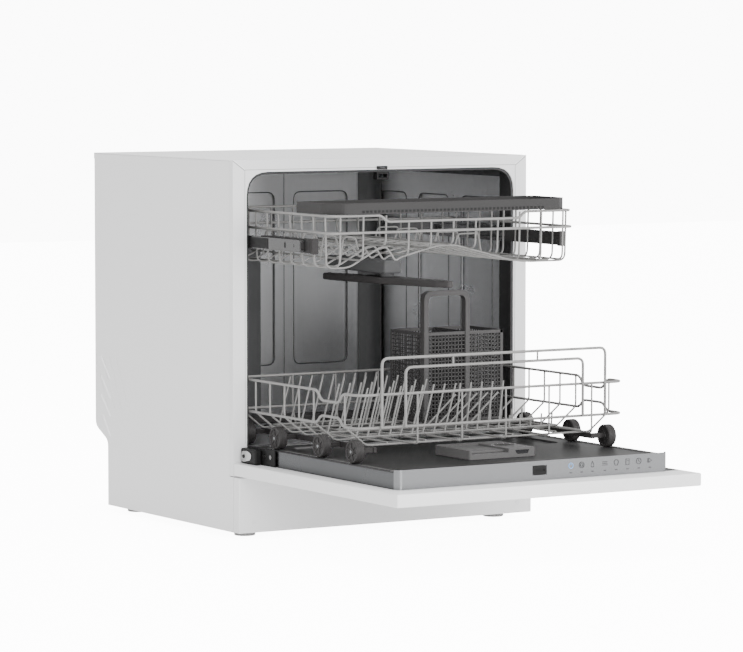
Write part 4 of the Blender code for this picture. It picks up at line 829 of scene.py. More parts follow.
@dataclass
class UpperRack:
    """Wire rack that slides in the upper half of the tub."""

    top: float = 0.5140
    dip: float = 0.5040
    mid: float = 0.4880
    floor: float = 0.4340
    top_half: float = 0.2220
    dip_half: float = 0.1220
    floor_half: float = 0.2200
    front: float = -0.2100
    floor_front: float = -0.2080
    rear: float = 0.1450
    floor_rear: float = 0.1430
    across: int = 10
    along: int = 11
    rim_r: float = 0.0021
    wire_r: float = 0.0015
    bend: float = 0.0120
    corner: float = 0.0150
    stack: float = 0.0026
    arch: tuple[Pair, ...] = (
        (-0.1800, 0.0), (-0.1240, 0.0300), (-0.1120, 0.0300), (-0.0960, 0.0080), (-0.0860, 0.0140),
        (-0.0180, 0.0300), (0.0120, 0.0300), (0.1150, 0.0040), (0.1500, 0.0))
    loop_ys: tuple[float, ...] = (-0.150, -0.090, -0.030, 0.030, 0.090)
    loop_runs: tuple[Pair, ...] = ((-0.1700, 0.0330), (0.0400, 0.0500))
    loop_h: float = 0.0200
    loop_bend: float = 0.006
    cup_y: float = -0.0600
    cup_top: float = 0.4800
    cup_low: Pair = (0.0300, 0.1480)
    cup_high: Pair = (0.0340, 0.1400)
    cup_bend: float = 0.008

    def build(self, shop: Workshop) -> None:
        """Make the rack's wires.

        Args:
            shop: The workshop.
        """
        loops = [(self._top_rim(), True), (self._middle_rim(), True)]
        rims = shop.wires(loops, self.rim_r, "wire", RIM_SIDES)
        grid = shop.wires(self._cross_wires() + self._long_wires(), self.wire_r, "wire", WIRE_SIDES)
        shop.place("upper_rack_wires", shop.merged([rims, grid]), "upper_rack", Coat.WIRE, ["upper_rack"])
        self._supports(shop)

    def _top_rim(self) -> list[Vector]:
        """Return the closed upper rim, which dips at the middle of the front.

        Returns:
            The rim's points.
        """
        t, w = self.top, self.top_half
        end = self.dip_half + self.top - self.dip
        return rounded([(-w, self.front, t), (-end, self.front, t), (-self.dip_half, self.front, self.dip),
                        (self.dip_half, self.front, self.dip), (end, self.front, t), (w, self.front, t),
                        (w, self.rear, t), (-w, self.rear, t)], self.corner, BEND_STEPS, True)

    def _middle_rim(self) -> list[Vector]:
        """Return the closed rim at middle height, which lies outside the upright wires.

        Returns:
            The rim's points.
        """
        share = (self.mid - self.floor) / (self.top - self.floor)
        half = self.floor_half + (self.top_half - self.floor_half) * share + self.stack
        front = self.floor_front + (self.front - self.floor_front) * share - self.stack
        rear = self.floor_rear + (self.rear - self.floor_rear) * share + self.stack
        return rounded([(-half, front, self.mid), (half, front, self.mid), (half, rear, self.mid),
                        (-half, rear, self.mid)], self.corner, BEND_STEPS, True)

    def _cross_wires(self) -> list[Path]:
        """Return the wires that run from side to side over the arched floor.

        Returns:
            The open paths.
        """
        paths = []
        for y in spread(self.floor_front + self.corner, self.floor_rear - self.corner, self.across):
            hump = [(x, y, self.floor + rise) for x, rise in self.arch]
            line = [(-self.top_half, y, self.top), (-self.floor_half, y, self.floor), *hump,
                    (self.floor_half, y, self.floor), (self.top_half, y, self.top)]
            paths.append((rounded(line, self.bend, BEND_STEPS), False))
        return paths

    def _long_wires(self) -> list[Path]:
        """Return the wires that run from front to back under the cross wires.

        Returns:
            The open paths.
        """
        paths = []
        reach = self.floor_half - self.corner
        for x in spread(-reach, reach, self.along):
            head = self.dip if abs(x) < self.dip_half else self.top
            low = self.floor + self.stack + self._rise(x)
            line = [(x, self.front, head), (x, self.floor_front, low), (x, self.floor_rear, low),
                    (x, self.rear, self.top)]
            paths.append((rounded(line, self.bend, BEND_STEPS), False))
        return paths

    def _rise(self, x: float) -> float:
        """Return how far the arched floor lies above the rack's low edge.

        Args:
            x: The place across.

        Returns:
            The height above the low edge.
        """
        points = [(-self.floor_half, 0.0), *self.arch, (self.floor_half, 0.0)]
        for (a, low), (b, high) in zip(points, points[1:]):
            if a <= x <= b:
                return low + (high - low) * (x - a) / (b - a)
        return 0.0

    def _supports(self, shop: Workshop) -> None:
        """Make the raised wires that cups lean on.

        Args:
            shop: The workshop.
        """
        paths = []
        for y in self.loop_ys:
            for x, wide in self.loop_runs:
                low = self.floor + self.wire_r + self._rise(x)
                ahead = self.floor + self.wire_r + self._rise(x + wide)
                top = max(low, ahead) + self.loop_h
                line = [(x, y, low), (x + self.loop_bend, y, top), (x + wide - self.loop_bend, y, top),
                        (x + wide, y, ahead)]
                paths.append((rounded(line, self.loop_bend, SHORT_STEPS), False))
        (left, right), y = self.cup_low, self.cup_y
        frame = [(left, y, self.floor + self._rise(left)), (self.cup_high[0], y, self.cup_top),
                 (self.cup_high[1], y, self.cup_top), (right, y, self.floor + self._rise(right))]
        paths.append((rounded(frame, self.cup_bend, BEND_STEPS), False))
        made = shop.wires(paths, self.wire_r, "wire", THIN_SIDES)
        shop.place("upper_rack_supports", made, "upper_rack", Coat.WIRE)


@dataclass
class LowerRack:
    """Wire rack that rolls on the open door, with its guard and tines."""

    top: float = 0.2500
    mid: float = 0.2000
    floor: float = 0.1700
    half: float = 0.2425
    floor_half: float = 0.2050
    front: float = -0.3250
    rear: float = 0.0500
    floor_rear: float = 0.0420
    cross: tuple[float, ...] = (-0.2850, -0.1930, -0.1484, -0.1038, -0.0592, -0.0146, 0.0300)
    lanes: tuple[float, ...] = (-0.1380, -0.0580, 0.0220, 0.1020, 0.1820)
    lane_end: float = 0.1960
    between_back: float = 0.004
    dip_front: float = -0.2680
    dip_rear: float = -0.2150
    dip_run: float = 0.0120
    dip_top: float = 0.0150
    dip_mid: float = 0.0120
    rim_r: float = 0.0021
    wire_r: float = 0.0015
    tine_r: float = 0.0014
    bend: float = 0.0060
    corner: float = 0.0300
    stack: float = 0.0026
    guard_r: float = 0.0022
    guard_y: float = -0.3296
    guard: tuple[Pair, ...] = ((0.2040, 0.3050), (0.1620, 0.2900))
    guard_bend: float = 0.011
    strut_x: float = 0.0770
    pitch: float = 0.0200
    start: float = -0.1860
    base_z: float = 0.1759
    long_ys: Pair = (-0.2250, -0.1400)
    long_count: int = 19
    short_ys: Pair = (-0.0550, 0.0100)
    short_count: int = 9
    tine_h: float = 0.0750
    lean: float = math.radians(15.5)
    fold_x: float = -0.0100
    folds: tuple[Pair, Pair] = ((math.radians(7.0), 0.0750), (math.radians(49.0), 0.0480))
    stub_x: float = 0.0900
    stub_h: float = 0.0200
    stub_lean: float = math.radians(4.0)

    def build(self, shop: Workshop) -> None:
        """Make the rack's wires, guard and tines.

        Args:
            shop: The workshop.
        """
        rims = [(self._rim(self.top, self.dip_top), True), (self._rim(self.mid, -self.dip_mid), True)]
        wires = [shop.wires(rims, self.rim_r, "wire", RIM_SIDES),
                 shop.wires(self._floor_wires(), self.wire_r, "wire", WIRE_SIDES)]
        shop.place("lower_rack_wires", shop.merged(wires), "lower_rack", Coat.WIRE, ["lower_rack"])
        self._guard(shop)
        self._tines(shop, "long", self.long_ys, self.long_count)
        self._tines(shop, "short", self.short_ys, self.short_count)

    def _rim(self, z: float, drop: float) -> list[Vector]:
        """Return a closed rim, dropped or raised for a short run behind each front corner.

        Args:
            z: The rim's height.
            drop: How far the short run lies below it.

        Returns:
            The rim's points.
        """
        h = self.half
        right = [(h, self.front, z), (h, self.dip_front - self.dip_run, z), (h, self.dip_front, z - drop),
                 (h, self.dip_rear, z - drop), (h, self.dip_rear + self.dip_run, z), (h, self.rear, z)]
        left = [(-x, y, height) for x, y, height in reversed(right)]
        return rounded(right + left, self.corner, BEND_STEPS, True)

    def _floor_wires(self) -> list[Path]:
        """Return the wires of the sides and the floor.

        Returns:
            The open paths.
        """
        paths = []
        for y in self.cross:
            line = [(-self.half, y, self.top), (-self.half, y, self.mid), (-self.floor_half, y, self.floor)]
            line += [(-x, y, z) for x, y, z in reversed(line)]
            paths.append((rounded(line, self.bend, SHORT_STEPS), False))
        low = self.floor + self.stack
        for x in self.lanes:
            line = [(x, self.front, self.top), (x, self.front, low), (x, self.floor_rear, low),
                    (x, self.rear, self.mid), (x, self.rear, self.top)]
            paths.append((rounded(line, self.bend, SHORT_STEPS), False))
        for a, b in zip((-self.lane_end,) + self.lanes, self.lanes + (self.lane_end,)):
            middle = (a + b) / 2
            paths.append(([Vector((middle, self.cross[0], low)),
                           Vector((middle, self.floor_rear - self.between_back, low))], False))
        return paths

    def _guard(self, shop: Workshop) -> None:
        """Make the tall guard of two bent wires.

        Args:
            shop: The workshop.
        """
        y, loops = self.guard_y, []
        for half, top in self.guard:
            line = [(-half, y, self.mid), (-half, y, top), (half, y, top), (half, y, self.mid)]
            loops.append((rounded(line, self.guard_bend, LONG_STEPS), False))
        struts = [([Vector((x, y, self.guard[0][1])), Vector((x, y, self.guard[1][1]))], False)
                  for x in (-self.strut_x, self.strut_x)]
        wires = [shop.wires(loops, self.guard_r, "wire", RIM_SIDES),
                 shop.wires(struts, self.wire_r, "wire", THIN_SIDES)]
        shop.place("front_guard_wires", shop.merged(wires), "lower_rack", Coat.WIRE, ["front_guard"])

    def _tines(self, shop: Workshop, word: str, ys: Sequence[float], count: int) -> None:
        """Make one frame of leaning tines.

        Args:
            shop: The workshop.
            word: The frame's name.
            ys: The rows' places.
            count: How many tines a row has.
        """
        end = self.start + (count - 1) * self.pitch
        left, right = self.start - self.pitch / 2, end + self.pitch / 2
        base = [([Vector((left, y, self.base_z)), Vector((right, y, self.base_z))], False) for y in ys]
        base += [([Vector((x, ys[0], self.base_z)), Vector((x, ys[-1], self.base_z))], False)
                 for x in (left, right)]
        tines = []
        for row, y in enumerate(ys):
            for i in range(count):
                x, lean, tall = self.start + i * self.pitch, self.lean, self.tine_h
                if word == "long" and x > self.stub_x:
                    lean, tall = self.stub_lean, self.stub_h
                elif word == "long" and x > self.fold_x:
                    lean, tall = self.folds[row]
                tip = Vector((x + tall * math.tan(lean), y, self.base_z + tall))
                tines.append(([Vector((x, y, self.base_z)), tip], False))
        wires = [shop.wires(base, self.wire_r, "wire", THIN_SIDES),
                 shop.wires(tines, self.tine_r, "wire", WIRE_SIDES)]
        shop.place(word + "_tine_wires", shop.merged(wires), "lower_rack", Coat.WIRE, [word + "_tine_rows"])


@dataclass
class Wheels:
    """The eight rollers of the lower rack, with their caps and clips."""

    x: float = 0.2310
    z: float = 0.1630
    ys: tuple[float, ...] = (-0.2960, -0.1980, -0.0650, 0.0330)
    radius: float = 0.0177
    bore: float = 0.0023
    half_width: float = 0.0072
    hub: float = 0.0052
    hub_foot: float = 0.0060
    web: float = 0.0134
    lip: float = 0.0143
    recess: float = 0.0018
    lip_in: float = 0.0002
    shoulder: float = 0.0014
    chamfer: float = 0.0004
    shoulder_in: float = 0.0008
    tread_in: float = 0.0020
    groove: float = 0.0009
    spokes: int = 6
    spoke_at: float = 0.0098
    spoke_turn: float = 0.3
    spoke_in: float = 0.0014
    spoke_length: float = 0.0090
    spoke_t: float = 0.0018
    cap: tuple[Pair, ...] = ((0.0001, -0.0006), (0.0022, -0.0006), (0.0018, 0.0007), (0.0001, 0.0009))
    cap_gap: float = 0.0003
    cap_steps: int = 24
    clip_x: float = 0.2080
    clip_lift: float = 0.0010
    clip_size: Point = (0.0180, 0.0110, 0.0070)
    collar_x: float = 0.2200
    collar_size: Point = (0.0090, 0.0090, 0.0060)

    def _section(self) -> list[Pair]:
        """Return the section of a roller, the same on both sides of its middle.

        Returns:
            The closed profile of radius and place along the axle.
        """
        r, e = self.radius, self.half_width
        half = [(self.bore, -e), (self.hub, -e), (self.hub_foot, self.recess - e),
                (self.web, self.recess - e), (self.lip, self.lip_in - e), (r - self.shoulder, -e),
                (r - self.chamfer, self.shoulder_in - e), (r, self.tread_in - e), (r, -self.groove)]
        return half + [(r - self.chamfer, 0.0)] + [(at, -place) for at, place in reversed(half)]

    def build(self, shop: Workshop) -> None:
        """Make each roller on its own body.

        Args:
            shop: The workshop.
        """
        section = self._section()
        spoke = (2 * self.half_width - self.spoke_in, self.spoke_length, self.spoke_t)
        for side, word in SIDES:
            for i, y in enumerate(self.ys):
                at = (side * self.x, y, self.z)
                name = "wheel_%s_%d" % (word, i + 1)
                parts = [shop.lathe(section, "dark", at)]
                for k in range(self.spokes):
                    angle = math.tau * k / self.spokes + self.spoke_turn
                    spot = (at[0], y + self.spoke_at * math.cos(angle),
                            self.z + self.spoke_at * math.sin(angle))
                    parts.append(shop.repeat("BLOCK", [spot], spoke, "dark", (angle, 0.0, 0.0)))
                shop.place(name + "_roller", shop.merged(parts), name, Coat.GREY, [name])
                outer = at[0] + side * (self.half_width + self.cap_gap)
                cap = shop.lathe(self.cap, "grey", (outer, y, self.z), "X", self.cap_steps)
                shop.place(name + "_cap", cap, name, Coat.GREY)
        self._brackets(shop)

    def _brackets(self, shop: Workshop) -> None:
        """Make the clips and collars that hold each axle.

        Args:
            shop: The workshop.
        """
        for side, word in SIDES:
            spots = [(side * self.clip_x, y, self.z + self.clip_lift) for y in self.ys]
            clips = shop.repeat("BLOCK", spots, self.clip_size, "dark")
            spots = [(side * self.collar_x, y, self.z) for y in self.ys]
            collars = shop.repeat("PIN", spots, self.collar_size, "dark", ALONG_X)
            shop.place("wheel_clips_" + word, shop.merged([clips, collars]), "lower_rack", Coat.GREY)


@dataclass
class Basket:
    """Cutlery basket with lattice walls, a partition and a handle."""

    left: float = 0.0280
    right: float = 0.1780
    front: float = -0.0790
    back: float = 0.0210
    low: float = 0.1744
    high: float = 0.3180
    split: float = 0.1100
    split_half: float = 0.0030
    wall: float = 0.0025
    wall_share: float = 0.7
    bar: float = 0.0014
    inset: float = 0.004
    wide_bars: int = 24
    deep_bars: int = 16
    level_bars: int = 23
    foot_h: float = 0.0040
    rim_h: float = 0.0050
    post_in: float = 0.002
    post_size: Pair = (0.0050, 0.0040)
    grip_top: float = 0.3840
    grip_rise: float = 0.02
    grip_past: float = 0.0040
    grip_w: float = 0.008
    grip_t: float = 0.0120
    grip_ahead: float = 0.0014
    grip_bend: float = 0.015
    grip_inner_bend: float = 0.011
    grip_edge: float = 0.0012

    def build(self, shop: Workshop) -> None:
        """Make the basket.

        Args:
            shop: The workshop.
        """
        parts = self._walls(shop) + self._rims(shop) + [self._grip(shop)]
        shop.place("basket_lattice", shop.merged(parts), "lower_rack", Coat.DARK, ["cutlery_basket"])

    def _walls(self, shop: Workshop) -> list[bpy.types.Mesh]:
        """Make the lattices of the walls, the partition and the bottom.

        Args:
            shop: The workshop.

        Returns:
            The meshes.
        """
        wide, deep, tall = self.right - self.left, self.back - self.front, self.high - self.low
        mx, my, mz = (self.left + self.right) / 2, (self.front + self.back) / 2, (self.low + self.high) / 2
        quarter, level = Matrix.Rotation(math.pi / 2, 4, "Z"), Matrix.Rotation(math.pi / 2, 4, "X")
        edge, thick = self.wall / 2, self.wall * self.wall_share
        parts = []
        for y in (self.front + edge, self.back - edge):
            parts.append(shop.lattice((mx, y, mz), wide - self.inset, tall - self.inset, self.wide_bars,
                                      self.level_bars, self.bar, thick, "mesh"))
        for x in (self.left + edge, self.right - edge, self.split - self.split_half,
                  self.split + self.split_half):
            parts.append(shop.lattice((x, my, mz), deep - self.inset, tall - self.inset, self.deep_bars,
                                      self.level_bars, self.bar, thick, "mesh", quarter))
        parts.append(shop.lattice((mx, my, self.low + edge), wide - self.inset, deep - self.inset,
                                  self.wide_bars, self.deep_bars, self.bar, self.wall, "mesh", level))
        return parts

    def _rims(self, shop: Workshop) -> list[bpy.types.Mesh]:
        """Make the bands at the bottom and the top, and the corner posts.

        Args:
            shop: The workshop.

        Returns:
            The meshes.
        """
        wide, deep, tall = self.right - self.left, self.back - self.front, self.high - self.low
        mx, my, mz = (self.left + self.right) / 2, (self.front + self.back) / 2, (self.low + self.high) / 2
        edge = self.wall / 2
        parts = []
        for z, h in ((self.low + self.foot_h / 2, self.foot_h), (self.high - self.rim_h / 2, self.rim_h)):
            spots = [(mx, self.front + edge, z), (mx, self.back - edge, z)]
            parts.append(shop.repeat("BLOCK", spots, (wide, self.wall, h), "mesh"))
            spots = [(self.left + edge, my, z), (self.right - edge, my, z), (self.split, my, z)]
            parts.append(shop.repeat("BLOCK", spots, (self.wall, deep, h), "mesh"))
        posts = [(x, y, mz) for x in (self.left + self.post_in, self.split, self.right - self.post_in)
                 for y in (self.front + self.post_in, self.back - self.post_in)]
        parts.append(shop.repeat("BLOCK", posts, (*self.post_size, tall), "mesh"))
        return parts

    def _grip(self, shop: Workshop) -> bpy.types.Mesh:
        """Make the handle, a flat bow that stands at the front wall.

        Args:
            shop: The workshop.

        Returns:
            The mesh.
        """
        left, right = self.left, self.split + self.grip_past
        foot, top = self.low + self.grip_rise, self.grip_top
        outer = rounded([(left, foot, 0), (left, top, 0), (right, top, 0), (right, foot, 0)], self.grip_bend,
                        LONG_STEPS)
        near, far, under = left + self.grip_w, right - self.grip_w, top - self.grip_w
        inner = rounded([(far, foot, 0), (far, under, 0), (near, under, 0), (near, foot, 0)],
                        self.grip_inner_bend, LONG_STEPS)
        at = (0.0, self.front - self.grip_ahead, 0.0)
        return shop.plate(flat(outer + inner), self.grip_t, "mesh", "Y", at, self.grip_edge)


@dataclass
class Shelf:
    """Combs and edge slots of the cutlery shelf."""

    floor: float = 0.5184
    half: float = 0.1900
    rows: tuple[float, ...] = (-0.1860, -0.1570, -0.1260)
    front: float = -0.2120
    teeth: int = 46
    tooth_size: Point = (0.0022, 0.0030, 0.0096)
    strip_more: float = 0.01
    strip_depth: float = 0.0050
    strip_h: float = 0.0022
    strip_lift: float = 0.0010
    slots: int = 48
    slot_half: float = 0.165
    slot_size: Point = (0.0040, 0.0006, 0.0036)
    slot_ahead: float = 0.0001

    def build(self, shop: Workshop) -> None:
        """Make the combs and slots.

        Args:
            shop: The workshop.
        """
        tooth_z = self.floor + self.tooth_size[2] / 2
        teeth = [(x, y, tooth_z) for y in self.rows for x in spread(-self.half, self.half, self.teeth)]
        strips = [(0.0, y, self.floor + self.strip_lift) for y in self.rows]
        strip = (2 * self.half + self.strip_more, self.strip_depth, self.strip_h)
        parts = [shop.repeat("BLOCK", teeth, self.tooth_size, "shelf"),
                 shop.repeat("BLOCK", strips, strip, "shelf")]
        shop.place("shelf_combs", shop.merged(parts), "upper_rack", Coat.DARK)
        slots = [(x, self.front - self.slot_ahead, self.floor + self.slot_size[2] / 2)
                 for x in spread(-self.slot_half, self.slot_half, self.slots)]
        made = shop.repeat("BLOCK", slots, self.slot_size, "black")
        shop.place("shelf_edge_slots", made, "upper_rack", Coat.DARK)


@dataclass
class Rails:
    """End caps, sleeves, slots, rivets, lips and balls of the telescopic rails."""

    z: float = 0.4670
    start: float = -0.1550
    outer: float = 0.2450
    length: float = 0.3760
    slot_at: float = 0.045
    slot_size: Point = (0.0100, 0.0045, 0.0004)
    rivets_at: Pair = (0.020, 0.150)
    rivet_size: Point = (0.0050, 0.0050, 0.0010)
    lip_in: float = 0.0002
    lip_z: float = 0.0088
    lip_short: float = 0.002
    lip_size: Pair = (0.0012, 0.0011)
    sleeve: Pair = (-0.0580, 0.0195)
    sleeve_half: float = 0.0082
    sleeve_t: float = 0.0006
    cap_x: float = 0.2285
    cap_half_w: float = 0.0055
    cap_half_h: float = 0.0122
    cap_r: float = 0.0030
    cap_depth: float = 0.0080
    cap_ahead: float = 0.0195
    cap_edge: float = 0.0010
    ball: float = 0.0028
    balls: int = 9
    balls_at: float = 0.030
    ball_pitch: float = 0.016
    ball_x: float = 0.2405
    ball_z: float = 0.0070

    def build(self, shop: Workshop) -> None:
        """Make the small parts of both rails.

        Args:
            shop: The workshop.
        """
        for side, word in SIDES:
            self._rail(shop, side, word)

    def _rail(self, shop: Workshop, side: int, word: str) -> None:
        """Make the small parts of one rail.

        Args:
            shop: The workshop.
            side: -1 for the left, 1 for the right.
            word: The side's name.
        """
        body, face = "rail_" + word, side * self.outer
        spots = [(face, self.start + self.slot_at, self.z)]
        slot = shop.repeat("PIN", spots, self.slot_size, "black", ALONG_X)
        shop.place("rail_slot_" + word, slot, body, Coat.DARK)
        spots = [(face, self.start + y, self.z) for y in self.rivets_at]
        rivets = shop.repeat("PIN", spots, self.rivet_size, "rail", ALONG_X)
        shop.place("rail_rivets_" + word, rivets, body, Coat.CHROME)
        spots = [(face - side * self.lip_in, self.start + self.length / 2, self.z + k * self.lip_z)
                 for k in (-1, 1)]
        lip = (self.lip_size[0], self.length - self.lip_short, self.lip_size[1])
        shop.place("rail_lips_" + word, shop.repeat("BLOCK", spots, lip, "rail"), body, Coat.CHROME)
        low, high = sorted((face, face + side * self.sleeve_t))
        sleeve = shop.plate(rect(*self.sleeve, -self.sleeve_half, self.sleeve_half), high - low, "black", "X",
                            (low, 0.0, self.z))
        shop.place("rail_sleeve_" + word, sleeve, body, Coat.DARK)
        cap_form = rect(-self.cap_half_w, self.cap_half_w, -self.cap_half_h, self.cap_half_h, self.cap_r)
        cap = shop.plate(cap_form, self.cap_depth, "dark", "Y",
                         (side * self.cap_x, self.start - self.cap_ahead, self.z), self.cap_edge)
        shop.place("rail_cap_" + word, cap, "upper_rack", Coat.DARK)
        spots = [(side * self.ball_x, self.start + self.balls_at + self.ball_pitch * k,
                  self.z + s * self.ball_z) for k in range(self.balls) for s in (-1, 1)]
        balls = shop.repeat("PIN", spots, (self.ball, self.ball, self.ball), "rail")
        shop.place("rail_balls_" + word, balls, body, Coat.CHROME)


@dataclass(frozen=True)
class ArmPlace:
    """Where one spray arm lies and how far it reaches."""

    body: str
    reach: float
    middle: Pair
    top: float
    angle: float


@dataclass
class SprayArms:
    """Nozzles and ribs of both spray arms."""

    arms: tuple[ArmPlace, ...] = (
        ArmPlace("lower_arm", 0.1890, (0.0, 0.2300), 0.1655, math.pi / 2),
        ArmPlace("upper_arm", 0.1490, (0.0, -0.0120), 0.4050, math.radians(10.9)))
    shares: tuple[float, ...] = (0.35, 0.55, 0.75, 0.92)
    nozzle: tuple[Pair, ...] = ((0.0017, -0.0002), (0.0030, -0.0002), (0.0026, 0.0006), (0.0017, 0.0006))
    nozzle_lift: float = 0.0003
    nozzle_steps: int = 20
    thick: float = 0.011
    rib_drop: float = 0.0004
    rib_size: Pair = (0.0016, 0.0012)
    rib_at_share: float = 0.5
    rib_share: float = 0.6

    def build(self, shop: Workshop) -> None:
        """Make the nozzles and ribs.

        Args:
            shop: The workshop.
        """
        for arm in self.arms:
            along = Vector((-math.sin(arm.angle), math.cos(arm.angle), 0.0))
            spots = [Vector((*arm.middle, arm.top + self.nozzle_lift)) + along * (s * share * arm.reach)
                     for s in (-1, 1) for share in self.shares]
            rings = [shop.lathe(self.nozzle, "slate", tuple(spot), "Z", self.nozzle_steps) for spot in spots]
            shop.place(arm.body + "_nozzles", shop.merged(rings), arm.body, Coat.GREY)
            low = arm.top - self.thick
            ribs = [Vector((*arm.middle, low - self.rib_drop)) + along * (s * arm.reach * self.rib_at_share)
                    for s in (-1, 1)]
            rib = (self.rib_size[0], arm.reach * self.rib_share, self.rib_size[1])
            made = shop.repeat("BLOCK", [tuple(r) for r in ribs], rib, "slate", (0.0, 0.0, arm.angle))
            shop.place(arm.body + "_ribs", made, arm.body, Coat.GREY)


@dataclass
class TubTrim:
    """Painted shadow lines round the pressed panels, seam, painted shade strips under the roof, corner
    strips, and the seal band of the tub, which also paints shade at its mouth.
    """

    half: float = 0.2500
    back: float = 0.4400
    top: float = 0.5750
    foot: float = 0.150
    low: float = 0.2280
    high: float = 0.5230
    corner: float = 0.0140
    rear_pitch: float = 0.1450
    rear_half: float = 0.0535
    side_middle: float = 0.2590
    side_shift: float = 0.0950 / 6
    side_pitch: float = 0.1335
    side_half: float = 0.0475
    edge_back: float = 0.0002
    shadow_line_r: float = 0.0011
    seam_x: float = 0.0725
    seam_drop: float = 0.002
    seam_r: float = 0.0008
    # Strips of painted shade under the roof.
    shade_low: float = 0.0160
    shade_high: float = 0.0012
    shade_end: float = 0.0310
    shade_front: float = 0.0400
    shade_t: float = 0.0004
    shade_gap: float = 0.0001
    shade_in: float = 0.0005
    strip_reach: float = 0.0300
    strip_knee: float = 0.0060
    strip_gap: float = 0.0008
    strip_bend: float = 0.020
    strip_t: float = 0.0006
    strip_z: float = 0.1455
    strip_less: float = 0.1470
    band_gap: float = 0.0001
    band_t: float = 0.0016
    band_y: float = 0.0125
    # Deeper than a seal: the extra depth paints shade along the front of the walls.
    seal_and_shade_depth: float = 0.0260

    def build(self, shop: Workshop) -> None:
        """Make the lines, the strips of painted shade, the corner strips and the band.

        Args:
            shop: The workshop.
        """
        self._lines(shop)
        self._top_shade_strips(shop)
        self._corner_strips(shop)
        self._band(shop)

    def _lines(self, shop: Workshop) -> None:
        """Make the dark lines round the pressed panels, which paint the shadow along the press outlines, and
        the line down the rear seam.

        Args:
            shop: The workshop.
        """
        lines = []
        for i in (-1, 0, 1):
            x = i * self.rear_pitch
            plan = rect(x - self.rear_half, x + self.rear_half, self.low, self.high, self.corner, BEND_STEPS)
            lines.append(([Vector((u, self.back + self.edge_back, v)) for u, v in plan], True))
            y = self.side_middle + i * self.side_pitch - self.side_shift
            plan = rect(y - self.side_half, y + self.side_half, self.low, self.high, self.corner, BEND_STEPS)
            for side in (-1, 1):
                wall = side * (self.half + self.edge_back)
                lines.append(([Vector((wall, u, v)) for u, v in plan], True))
        # The dark lines round the panels are painted shadow of the press outlines.
        edges = shop.wires(lines, self.shadow_line_r, "edge", LINE_SIDES)
        shop.place("tub_press_shadow_lines", edges, "cabinet", Coat.STEEL)
        seam = [Vector((self.seam_x, self.back, self.top - self.seam_drop)),
                Vector((self.seam_x, self.back, self.foot))]
        made = shop.wires([(seam, False)], self.seam_r, "edge", LINE_SIDES)
        shop.place("tub_seam", made, "cabinet", Coat.STEEL)

    def _top_shade_strips(self, shop: Workshop) -> None:
        """Make the dark strips under the roof, painted shade for the dark reflection at the top of the walls.

        Args:
            shop: The workshop.
        """
        low, high, end = self.top - self.shade_low, self.top - self.shade_high, self.shade_end
        rear = rect(end - self.half, self.half - end, low, high)
        parts = [shop.plate(rear, self.shade_t, "top_shade", "Y", (0.0, self.back - self.shade_in, 0.0))]
        for side in (-1, 1):
            near = self.half - self.shade_in if side > 0 else self.shade_gap - self.half
            form = rect(self.shade_front, self.back - end, low, high)
            parts.append(shop.plate(form, self.shade_t, "top_shade", "X", (near, 0.0, 0.0)))
        shop.place("tub_top_shade_strips", shop.merged(parts), "cabinet", Coat.STEEL)

    def _corner_strips(self, shop: Workshop) -> None:
        """Make the thin bent strips in the rear corners.

        Args:
            shop: The workshop.
        """
        strips = []
        for side in (-1, 1):
            points = [(side * (self.half - self.strip_gap), self.back - self.strip_reach, 0),
                      (side * (self.half - self.strip_knee), self.back - self.strip_knee, 0),
                      (side * (self.half - self.strip_reach), self.back - self.strip_gap, 0)]
            outline = rounded(points, self.strip_bend, LONG_STEPS)
            middle = Vector((side * (self.half - self.strip_reach), self.back - self.strip_reach, 0))
            inner = [p + (middle - p).normalized() * self.strip_t for p in reversed(outline)]
            strips.append(shop.plate(flat(outline + inner), self.top - self.strip_less, "duct", "Z",
                                     (0.0, 0.0, self.strip_z)))
        shop.place("tub_corner_strips", shop.merged(strips), "cabinet", Coat.STEEL)

    def _band(self, shop: Workshop) -> None:
        """Make the seal band round the tub's mouth, deep enough that it also paints shade along the front of
        the walls.

        Args:
            shop: The workshop.
        """
        h, t, low = self.half - self.band_gap, self.top - self.band_gap, self.foot
        inner, under = h - self.band_t, t - self.band_t
        band = [(-h, low), (-h, t), (h, t), (h, low), (inner, low), (inner, under), (-inner, under),
                (-inner, low)]
        made = shop.plate(band, self.seal_and_shade_depth, "rubber", "Y", (0.0, self.band_y, 0.0))
        shop.place("tub_seal_band", made, "cabinet", Coat.RUBBER)


